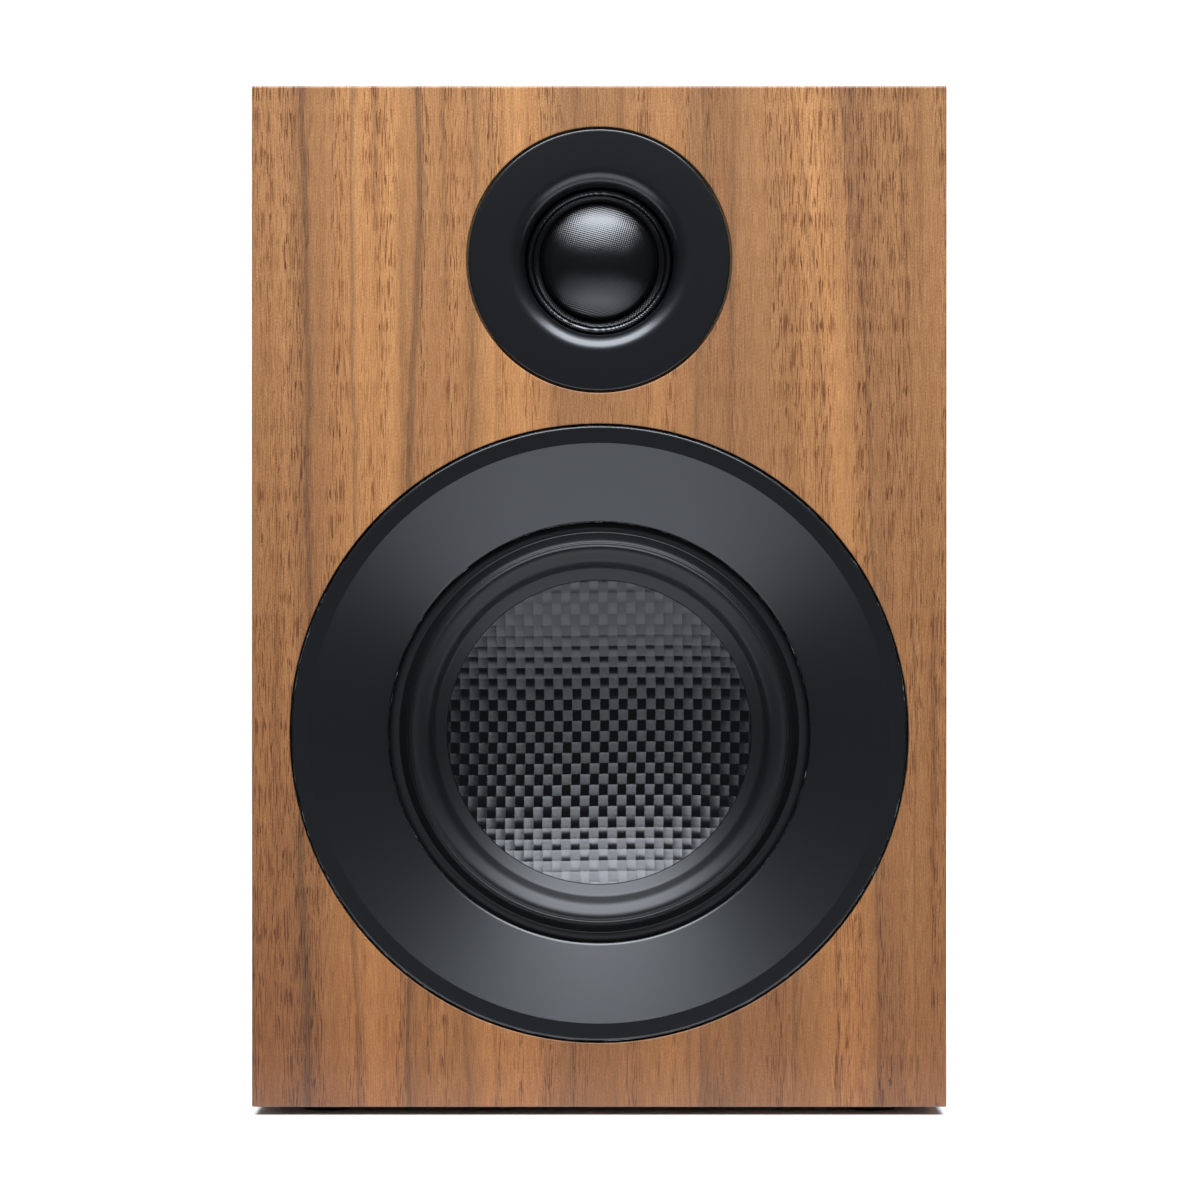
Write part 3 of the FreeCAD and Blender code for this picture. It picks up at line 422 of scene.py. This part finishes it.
for leaf, across, along, shift, lean in (("left", "Y", "Z", 12, 0.02), ("right", "Y", "Z", -31, 0.05),
                                         ("top", "Y", "X", 24, 0.03), ("bottom", "Y", "X", -8, 0.0)):
    dress(walnut(f"walnut_sliced_{leaf}", across, along, shift, lean, even_painted_foot_shade), f"veneer_{leaf}")
dress(front_walnut, "rear_edging")


# ---- Wadding ----
# Two sheets of lofty polyester wadding, cut from a roll and stapled inside the side walls. They
# soak up the sound that the drivers send into the box.
wadding_thick = 9 * mm


def lofty(name, low, high):
    """A soft sheet between two corners: a superellipsoid skin, puckered into soft lumps.

    Each place is the middle plus half the size times sign(c) |c|^0.25, c being the place on a
    unit sphere, drawn in by up to 6 % where two sine waves across the sheet are low.
    """
    turn = np.linspace(-np.pi, np.pi, 161)[None, :-1]
    rise = np.linspace(-np.pi / 2, np.pi / 2, 101)[:, None]
    ball = np.stack(np.broadcast_arrays(
        np.cos(rise) * np.cos(turn), np.cos(rise) * np.sin(turn), np.sin(rise)), axis=-1)
    block = np.sign(ball) * np.abs(ball) ** 0.25
    level, upright = block[..., 1:2], block[..., 2:]
    lumps = 0.97 + 0.02 * np.sin(9 * level + 2 * upright) + 0.01 * np.sin(17 * upright)
    return surface(name, (low + high) / 2 + (high - low) / 2 * block * lumps, around=True)


wadding_low, wadding_high = (np.array(corner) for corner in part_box("wadding"))
# Bonded polyester fibre: off-white and matt. Its strands, about 0.1 mm across, are too fine to
# show, so they are drawn as tufts 0.6 mm across.
polyester = grained("polyester_wadding_bonded", "#d9d7d0", 0.6, 0.4,
                    {"Roughness": 1.0, "Sheen Weight": 0.3})
far = wadding_high - wadding_low - [wadding_thick, 0, 0]
for side, shift in (("left", 0), ("right", far[0])):
    corner = wadding_low + [shift, 0, 0]
    batt = lofty(f"wadding_{side}", corner, corner + [wadding_thick, far[1], far[2]])
    batt.data.materials.append(polyester)
    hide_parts("wadding")
    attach(batt, "cabinet")


# ---- Woofer trim ring ----
# A ring moulded in satin black ABS, pushed on to six pegs over the woofer's screws. A flat band
# goes round it, then a shallow cone leads in to a small step at the surround.
woofer_height = 90.75
ring_pegs = 6
ring_peg_circle = 66.0


def eased_outline(corners, steps=6, closed=True):
    """A smooth outline through corners of (radius, depth, easing) in mm.

    Each corner p with easing e becomes the curve (1-t)^2 a + 2t(1-t) p + t^2 b between the
    places a and b that lie e from p along its two sides. One more place 0.3 e outside each end
    keeps the flats flat when the normals are smoothed.
    """
    corners = np.array(corners, float)
    point, ease = corners[:, None, :2], corners[:, None, 2:]
    before, after = np.roll(point, 1, 0) - point, np.roll(point, -1, 0) - point
    if not closed:
        before[0], after[-1] = after[0], before[-1]
        ease[[0, -1]] = 0
    before, after = (way / np.linalg.norm(way, axis=-1, keepdims=True) for way in (before, after))
    t = np.linspace(0, 1, steps)[None, :, None]
    curve = ((1 - t) ** 2 * (point + before * ease) + 2 * t * (1 - t) * point
             + t ** 2 * (point + after * ease))
    path = np.concatenate([point + 1.3 * before * ease, curve, point + 1.3 * after * ease], axis=1)
    return path.reshape(-1, 2)


def arc(start, end, bow, steps=14):
    """Places on a circular arc from start to end (radius, depth), standing off its chord by bow.

    With half chord c the circle's radius is (c^2 + bow^2) / 2 bow. A bow above nought stands
    towards the front, where depth is less.
    """
    start, end = np.array(start, float), np.array(end, float)
    half = np.linalg.norm(end - start) / 2
    along = (end - start) / (2 * half)
    out = np.array([along[1], -along[0]]) * np.sign(along[0])
    radius = (half ** 2 + bow ** 2) / (2 * abs(bow))
    reach = np.arcsin(min(half / radius, 1))
    turn = np.linspace(-reach, reach, steps)[:, None]
    middle = (start + end) / 2 + out * np.sign(bow) * (abs(bow) - radius)
    return middle + radius * (np.sin(turn) * along + np.cos(turn) * out * np.sign(bow))


def turned(name, outline, height, sideways=0.0, closed=True, turns=192):
    """The surface that an outline of (radius, depth) in mm sweeps when it turns about a driver's axis."""
    radius, depth = np.array(outline).T[:, :, None]
    angle = np.linspace(0, 2 * np.pi, turns + 1)[None, :-1]
    places = on_front(sideways + radius * np.cos(angle), depth, height + radius * np.sin(angle))
    return surface(name, places, around=True, closed=closed)


peg_turn = np.arange(ring_pegs) * 2 * np.pi / ring_pegs
peg_outline = eased_outline([(0, 9.0, 0), (1.9, 9.0, 0.1), (1.9, 15.0, 0.4), (0, 15.0, 0)])
pegs = [turned(f"peg_{number}", peg_outline, woofer_height + ring_peg_circle * np.sin(turn),
               ring_peg_circle * np.cos(turn), turns=24)
        for number, turn in enumerate(peg_turn)]
trim_ring = joined("woofer_trim_ring_moulded", [turned("ring", eased_outline([
    (72.8, 0, 0.35), (69.0, 0, 0.12), (50.5, 6.37, 0.35), (50.2, 6.67, 0.2), (50.2, 7.87, 0.2),
    (52.2, 7.87, 0.2), (68.5, 2.27, 0.2), (70.9, 2.27, 0.2), (70.9, 9.5, 0.2), (73.1, 9.5, 0.2),
    (73.1, 0.3, 0.25)]), woofer_height), *pegs])
# Satin ABS, moulded against a fine spark-eroded tool: near black, its grain spreads a light into a
# broad soft sheen. The real grain is too fine to show, so it is drawn 0.35 mm across.
satin_abs = grained("abs_moulded_satin", "#0a0c0f", 0.35, 0.012,
                    {"Roughness": 0.28, "IOR": 1.62}, shade=0.1)
trim_ring.data.materials.append(satin_abs)
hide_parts("woofer_trim_ring")
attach(trim_ring, "cabinet")


# ---- Woofer surround ----
# A half roll of moulded butyl rubber, glued to the basket outside and to the cone inside. It is
# drawn in two halves that meet on the crest of the roll.
surround_thick = 0.7
cone_sphere = 82.0
cone_edge_radius = 39.4
cone_edge_depth = 9.0
cone_datum = cone_edge_depth - np.sqrt(cone_sphere ** 2 - cone_edge_radius ** 2)
roll_foot = 8.2


def on_cone(radius):
    """How deep the cone's face lies at a radius, in mm: 9.0 + sqrt(82^2 - r^2) - sqrt(82^2 - 39.4^2)."""
    return cone_datum + np.sqrt(cone_sphere ** 2 - np.asarray(radius, float) ** 2)


roll_face = eased_outline([
    (52.3, roll_foot, 0), (47.75, roll_foot, 0.25), (45.6, 4.75, 1.0), (44.0, 4.25, 1.2),
    (41.0, 5.9, 1.0), (39.2, on_cone(39.2) - surround_thick, 0.5),
    (37.8, on_cone(37.8) - surround_thick, 0.4),
    (36.5, on_cone(36.5) - surround_thick, 0.15), (36.3, on_cone(36.3) - 0.02, 0)], closed=False)
crest = roll_face[:, 1].argmin()
# Butyl rubber, press moulded: black and satin, so that the roll shows as soft bands of light, a
# little broken by a grain of 0.4 mm.
butyl = grained("butyl_rubber_moulded", "#090a0b", 0.4, 0.012,
                {"Roughness": 0.4, "IOR": 1.47}, shade=0.1)


def half_roll(face, crest, thick):
    """The two closed outlines of a rolled sheet, split at its crest.

    Each is its stretch of the face, and then the same places back again, thick mm deeper. One more
    place 0.03 mm from the cut keeps the smoothed normals true up to the crest.
    """
    beside = np.array([[0.03, 0.0]])
    for part, near in ((face[:crest + 1], slice(-1, None)), (face[crest:], slice(0, 1))):
        support = part[near] + (beside if near.start else -beside)
        part = np.insert(part, [len(part) - 1 if near.start else 1], support, axis=0)
        yield np.concatenate([part, (part + [0, thick])[::-1]])


# The two depths for each half: its foot, and a place as far in front of the crest as the foot
# lies behind it.
roll_depths = (roll_foot, 2 * roll_face[crest, 1] - roll_foot)
for half, outline, depths in zip(("outer", "inner"), half_roll(roll_face, crest, surround_thick),
                                 (roll_depths, roll_depths[::-1])):
    roll = turned(f"woofer_surround_{half}", outline, woofer_height)
    roll.data.materials.append(butyl)
    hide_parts("woofer_surround")
    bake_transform(roll)


# ---- Woofer cone ----
# One shallow dish pressed from plain-woven carbon cloth in clear resin. Tows 2.23 mm wide run
# upright and tows 2.57 mm wide run across, each passing over one and under the next.
tow_across = 2.23
tow_upright = 2.57
tow_steps = 8
tow_wave = 0.07
tow_crown = 0.07
weave_edge = 38.2
weave_lift = 0.15
tows_sideways = 18
tows_upwards = 16
patch_long = 1.12
patch_wide = 0.97


def woven(name):
    """The cloth's face: one patch of tow_steps by tow_steps quads for each place where tows cross.

    With a = x / tow_across and b = z / tow_upright, and i, j the whole parts of a and b, an
    upright tow stands at A cos(pi (b - 1/2) + pi i) - C (2 (a - i) - 1)^4 and a crosswise one at
    -A cos(pi (a - 1/2) + pi j) - C (2 (b - j) - 1)^4. The upright tow is on top where i + j is
    even, and its patch runs on a little under the next crosswise ones; the other way where it is
    odd. The cloth wanders by 0.22 sin(z / 9 + 1) sideways and 0.18 sin(x / 11) upwards. Each quad
    remembers which way lies across the fibres of its own tow.
    """
    cells = np.meshgrid(np.arange(-tows_sideways, tows_sideways), np.arange(-tows_upwards, tows_upwards))
    i, j = (cell.ravel()[:, None, None] for cell in cells)
    upright_on_top = (i + j) % 2 == 0
    step = np.linspace(-0.5, 0.5, tow_steps + 1)
    along, across = 0.5 + patch_long * step, 0.5 + patch_wide * step
    a = i + np.where(upright_on_top, across[None, None, :], along[None, None, :])
    b = j + np.where(upright_on_top, along[None, :, None], across[None, :, None])
    a, b = np.broadcast_arrays(a, b)
    upright = tow_wave * np.cos(np.pi * (b - 0.5) + np.pi * i) - tow_crown * (2 * (a - i) - 1) ** 4
    crosswise = -tow_wave * np.cos(np.pi * (a - 0.5) + np.pi * j) - tow_crown * (2 * (b - j) - 1) ** 4
    sideways, height = a * tow_across, b * tow_upright
    sideways, height = sideways + 0.22 * np.sin(height / 9 + 1), height + 0.18 * np.sin(sideways / 11)
    radius = np.hypot(sideways, height)
    dish = on_cone(np.minimum(radius, weave_edge + tow_upright))
    face = dish - weave_lift - np.where(upright_on_top, upright, crosswise)
    places = on_front(sideways, face, woofer_height + height).reshape(-1, 3)
    index = np.arange(a.size).reshape(a.shape)
    faces = np.stack([index[:, :-1, :-1], index[:, :-1, 1:], index[:, 1:, 1:], index[:, 1:, :-1]],
                     axis=-1)
    on_top = np.broadcast_to(upright_on_top, faces.shape[:3]).ravel()
    faces = faces.reshape(-1, 4)
    inside = (radius.ravel()[faces] < weave_edge).all(axis=1)
    used, corners = np.unique(faces[inside], return_inverse=True)
    mesh = bpy.data.meshes.new(name)
    mesh.from_pydata(places[used], [], corners.reshape(-1, 4))
    mesh.polygons.foreach_set("use_smooth", np.ones(len(mesh.polygons), bool))
    lies_across = np.where(on_top[inside, None], [[1.0, 0, 0]], [[0, 0, 1.0]]).astype(np.float32)
    way = mesh.attributes.new("across_the_fibres", "FLOAT_VECTOR", "FACE")
    way.data.foreach_set("vector", lies_across.ravel())
    piece = bpy.data.objects.new(name, mesh)
    bpy.context.scene.collection.objects.link(piece)
    return piece


# Carbon fibre, plain woven and set in clear resin: every tow throws a highlight stretched across
# its fibres, so a square is bright or black by the way it lies. Single fibres are too fine to
# show, so they are drawn as streaks, 9350 to the metre across the tow and 350 along it.
streaks_across = 9350
streaks_along = 350
carbon, carbon_shader = start("carbon_fibre_woven", {
    "Base Color": linear("#040405"), "Roughness": 0.28, "IOR": 1.63, "Anisotropic": 1.0})
fibre_way = add(carbon, "ShaderNodeAttribute", attribute_name="across_the_fibres").outputs["Vector"]
carbon_place = add(carbon, "ShaderNodeTexCoord").outputs["Object"]
fibre_scale = add(carbon, "ShaderNodeVectorMath",
                  {1: (streaks_across - streaks_along,) * 3, 2: (streaks_along,) * 3}, {0: fibre_way},
                  operation="MULTIPLY_ADD").outputs[0]
fibre_place = add(carbon, "ShaderNodeVectorMath", links={0: carbon_place, 1: fibre_scale},
                  operation="MULTIPLY").outputs[0]
fibres = add(carbon, "ShaderNodeTexNoise", {"Scale": 1, "Detail": 2}, {"Vector": fibre_place}).outputs[0]
fibre_bump = add(carbon, "ShaderNodeBump", {"Distance": 0.02 * mm, "Strength": 1.0},
                 {"Height": fibres})
carbon.node_tree.links.new(fibre_bump.outputs[0], carbon_shader.inputs["Normal"])
carbon.node_tree.links.new(fibre_way, carbon_shader.inputs["Tangent"])
cloth_face = woven("cone_carbon_weave")
cloth_face.data.materials.append(carbon)
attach(cloth_face, "woofer_diaphragm")
# The same laminate seen from behind and at its edge, where the resin lies smooth.
dress(grained("carbon_laminate_pressed", "#0c0c0e", 2.2, 0.03, {"Roughness": 0.35}), "woofer_cone")


# ---- Tweeter faceplate ----
# A flat disc moulded in the same satin ABS as the ring. Its middle falls away in a quarter
# round to the dome, and ends in a small lip.
tweeter_height = 203.2
mouth_radius = 21.8
mouth_width = 4.1
mouth_depth = 4.2
mouth_turn = np.linspace(0, np.pi / 2, 16)
mouth = np.stack([mouth_radius - mouth_width * np.sin(mouth_turn),
                  mouth_depth * (1 - np.cos(mouth_turn))], axis=-1)
# The face and its mouth, then the lip and the back, then the rim.
plate_outline = np.concatenate([
    [(30.4, 0), (22.2, 0)], mouth,
    [(17.72, 4.45), (18.1, 4.95), (18.3, 5.1), (18.3, 6.5), (22, 6.5), (22, 3.6)],
    [(31.05, 3.6), (31.05, 0.35), (31.0, 0.2), (30.9, 0.08), (30.75, 0.02)]])
faceplate = turned("tweeter_faceplate_moulded", plate_outline, tweeter_height)
faceplate.data.materials.append(satin_abs)
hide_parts("tweeter_faceplate")
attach(faceplate, "cabinet")


# ---- Tweeter surround and dome ----
# Silk pressed to a dome 27 mm across with a narrow half roll round it, all brushed with a damping
# coat through which the weave shows. The roll is drawn in two halves, as the woofer's is.
small_thick = 0.3
small_bow = 0.2
small_foot = 6.6
small_crest = (16.65, 5.9)
small_face = np.concatenate([
    [(21.4, small_foot), (17.8, small_foot), (17.65, 6.59)],
    arc((17.55, 6.55), small_crest, small_bow)[:-1], arc(small_crest, (15.75, 6.6), small_bow),
    [(15.69, 6.7), (15.6, 7.1), (15.5, 7.18), (14.36, 7.22), (14.3, 7.25)]])
small_depths = (small_foot, 2 * small_crest[1] - small_foot)
dome_edge = 13.5
dome_apex = 0.9
dome_rise = 4.3
dome_foot = 7.6
dome_back = dome_foot + small_thick
dome_radius = (dome_edge ** 2 + dome_rise ** 2) / (2 * dome_rise)
dome_turn = np.linspace(0, np.arcsin((dome_edge - 0.25) / dome_radius), 40)[:, None]
dome_arc = np.concatenate([dome_radius * np.sin(dome_turn),
                           dome_apex + dome_radius * (1 - np.cos(dome_turn))], axis=1)
dome_side = np.array([(13.4, 5.17), (13.5, 5.3), (13.58, 5.5), (13.98, dome_foot - 0.15),
                      (14.12, dome_foot)])
dome_outline = np.concatenate([
    dome_arc, dome_side, [(14.85, dome_foot), (14.85, dome_back), (14.0, dome_back)],
    (dome_arc + [-0.02, small_thick])[::-1][1:-1], [(0, dome_apex + small_thick)]])
# Silk, woven plain and coated: black with a satin coat, its threads standing up as a grid that
# breaks the highlight into points. Real threads are too fine to show, so these are 0.7 mm apart.
silk, silk_shader = start("silk_coated", {"Base Color": linear("#060607"), "Roughness": 0.19, "IOR": 1.67})
silk_place = add(silk, "ShaderNodeTexCoord").outputs["Object"]
silk_pitch = 0.7
silk_turn = add(silk, "ShaderNodeMapping",
                {"Rotation": (0, 0.5, 0), "Scale": (2 * np.pi / (silk_pitch * mm),) * 3},
                {"Vector": silk_place})
silk_axes = add(silk, "ShaderNodeSeparateXYZ", links={0: silk_turn.outputs[0]})
silk_warp = add(silk, "ShaderNodeMath", links={0: silk_axes.outputs["X"]}, operation="SINE")
silk_weft = add(silk, "ShaderNodeMath", links={0: silk_axes.outputs["Z"]}, operation="SINE")
silk_weave = add(silk, "ShaderNodeMath", links={0: silk_warp.outputs[0], 1: silk_weft.outputs[0]},
                 operation="MULTIPLY")
silk_bump = add(silk, "ShaderNodeBump", {"Distance": 0.022 * mm, "Strength": 1.0},
                {"Height": silk_weave.outputs[0]})
silk.node_tree.links.new(silk_bump.outputs[0], silk_shader.inputs["Normal"])
small_halves = half_roll(small_face, small_face[:, 1].argmin(), small_thick)
for half, outline, depths in zip(("outer", "inner"), small_halves, (small_depths, small_depths[::-1])):
    roll = turned(f"tweeter_surround_{half}", outline, tweeter_height, turns=144)
    roll.data.materials.append(silk)
    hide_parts("tweeter_surround")
    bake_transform(roll)
dome = turned("tweeter_dome_pressed", dome_outline, tweeter_height, turns=144)
dome.data.materials.append(silk)
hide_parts("tweeter_dome")
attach(dome, "tweeter_diaphragm")


# ---- Behind the drivers ----
# The parts of both drivers that the rings and domes hide: pressed steel baskets and plates,
# ferrite and neodymium magnets, copper coils on an amber former, and the screws and gaskets.


def drawn(name, colour, rough, streak, values=None):
    """A bare metal: streaks of that many mm, twenty times as long as wide, shift tone and height."""
    material, shader = start(name, {"Metallic": 1.0, "Roughness": rough, **(values or {})})
    place = add(material, "ShaderNodeTexCoord").outputs["Object"]
    fine = 1 / (streak * mm)
    size = add(material, "ShaderNodeMapping", {"Scale": (fine, fine, fine / 20)}, {"Vector": place})
    noise = add(material, "ShaderNodeTexNoise", {"Scale": 1, "Detail": 2}, {"Vector": size.outputs[0]})
    tone = add(material, "ShaderNodeMapRange", {"To Min": 0.85, "To Max": 1.1}, {"Value": noise.outputs[0]})
    tinted = add(material, "ShaderNodeVectorMath", {0: linear(colour)[:3]}, {"Scale": tone.outputs[0]},
                 operation="SCALE")
    bump = add(material, "ShaderNodeBump", {"Distance": 0.003 * mm, "Strength": 1.0},
               {"Height": noise.outputs[0]})
    material.node_tree.links.new(tinted.outputs[0], shader.inputs["Base Color"])
    material.node_tree.links.new(bump.outputs[0], shader.inputs["Normal"])
    return material


# Steel, pressed and zinc plated: a cool grey with a soft sheen.
dress(drawn("steel_zinc_plated", "#b4b8bd", 0.36, 0.3), "woofer_basket", "woofer_top_plate", "woofer_yoke",
      "tweeter_top_plate", "tweeter_pole_cap", "tweeter_yoke_cup")
# Steel, blackened in hot oxide: near black with an oily sheen.
black_oxide = drawn("steel_black_oxide", "#2a2a2c", 0.38, 0.2)
dress(black_oxide, "woofer_screws", "tweeter_screws", "terminal_screws")
# Ferrite, sintered and ground: charcoal, dull, with a sandy grain.
dress(grained("ferrite_ground", "#2b2b2d", 0.4, 0.02, {"Roughness": 0.6}), "woofer_magnet")
# Neodymium in bright nickel, brass tabs in bright tin: plated smooth, hardly streaked.
dress(drawn("nickel_plated", "#d8d6d0", 0.18, 0.5), "tweeter_magnet")
dress(drawn("brass_tin_plated", "#d0d0cd", 0.28, 0.3), "woofer_terminals", "tweeter_terminals",
      "solder_lugs", "post_rear_nuts")
# Copper wire, enamelled and wound: an orange-brown gloss.
copper = drawn("copper_enamelled", "#b4653a", 0.3, 0.25, {"Coat Weight": 0.6, "Coat Roughness": 0.15})
dress(copper, "voice_coil_winding", "tweeter_voice_coil", "inductors", "woofer_tinsel_leads")
# Polyimide film, cast: amber, thin and glossy.
dress(grained("polyimide_cast", "#a8641e", 1.0, 0.005, {"Roughness": 0.25}), "voice_coil_former")
# Cotton cloth, dipped in phenolic resin and pressed: brown with threads 0.5 mm apart.
dress(grained("cotton_resin_dipped", "#5c4126", 0.5, 0.08, {"Roughness": 0.7}), "woofer_spider")
# Polyethylene foam, closed cell: black, with cells about 0.3 mm across.
dress(grained("foam_closed_cell", "#1b1b1c", 0.3, 0.06, {"Roughness": 0.9}), "woofer_gasket",
      "tweeter_gasket", "terminal_gasket")


# ---- Reflex port, terminal cup and rear chamber ----
# Black ABS mouldings with the grain of the tool on them. The port is a flared tube let flush
# into the back, and the cup sinks the binding posts into it.
# ABS, moulded in a coarser tool: black, its grain 0.45 mm across, and duller than the front's.
dress(grained("abs_moulded_grained", "#17181a", 0.45, 0.03, {"Roughness": 0.5}, shade=0.1), "port_tube",
      "terminal_cup", "tweeter_rear_chamber")


# ---- Binding posts ----
# Two gold-plated brass posts in red and black collars. Each has a captive washer and a thumb nut
# moulded over brass, which unscrews along the stud.
# Brass, turned and gold plated: a warm bright yellow with fine turning marks.
dress(drawn("brass_gold_plated", "#e0b35c", 0.2, 0.12), "post_stud_red", "post_stud_black",
      "post_washer_red", "post_washer_black")
# Polycarbonate, moulded glossy: one colour right through, with a slight flow in the gloss.
dress(grained("polycarbonate_moulded_red", "#a3100f", 2.0, 0.01, {"Roughness": 0.25}, shade=0.06),
      "post_collar_red", "post_nut_red")
dress(grained("polycarbonate_moulded_black", "#131315", 2.0, 0.01, {"Roughness": 0.25}, shade=0.06),
      "post_collar_black", "post_nut_black")


# ---- Crossover and wiring ----
# A small board on standoffs on the bottom panel, with two coils, three film capacitors and a
# ceramic resistor, and sleeved wires to the drivers and the posts.
# Glass-epoxy board under green solder mask: a glossy green over a faint glass weave.
dress(grained("glass_epoxy_masked", "#1c5a36", 0.8, 0.01, {"Roughness": 0.3}), "crossover_board")
# Polyester film tape, wrapped round the capacitors: a mustard yellow gloss.
dress(grained("polyester_tape_wrapped", "#c79a2a", 1.5, 0.01, {"Roughness": 0.35}), "capacitors")
# Ceramic, cast and fired: a chalky white with fine pits.
dress(grained("ceramic_fired", "#d8d4c8", 0.5, 0.04, {"Roughness": 0.8}), "resistor")
# Nylon standoffs and screws, moulded: a milky white satin.
dress(grained("nylon_moulded", "#cfccc2", 1.0, 0.01, {"Roughness": 0.45}), "board_fixings")
# PVC sleeve, extruded over the wires: black with a dull gloss.
dress(grained("pvc_extruded", "#1a1a1b", 0.8, 0.01, {"Roughness": 0.45}), "hookup_wires")
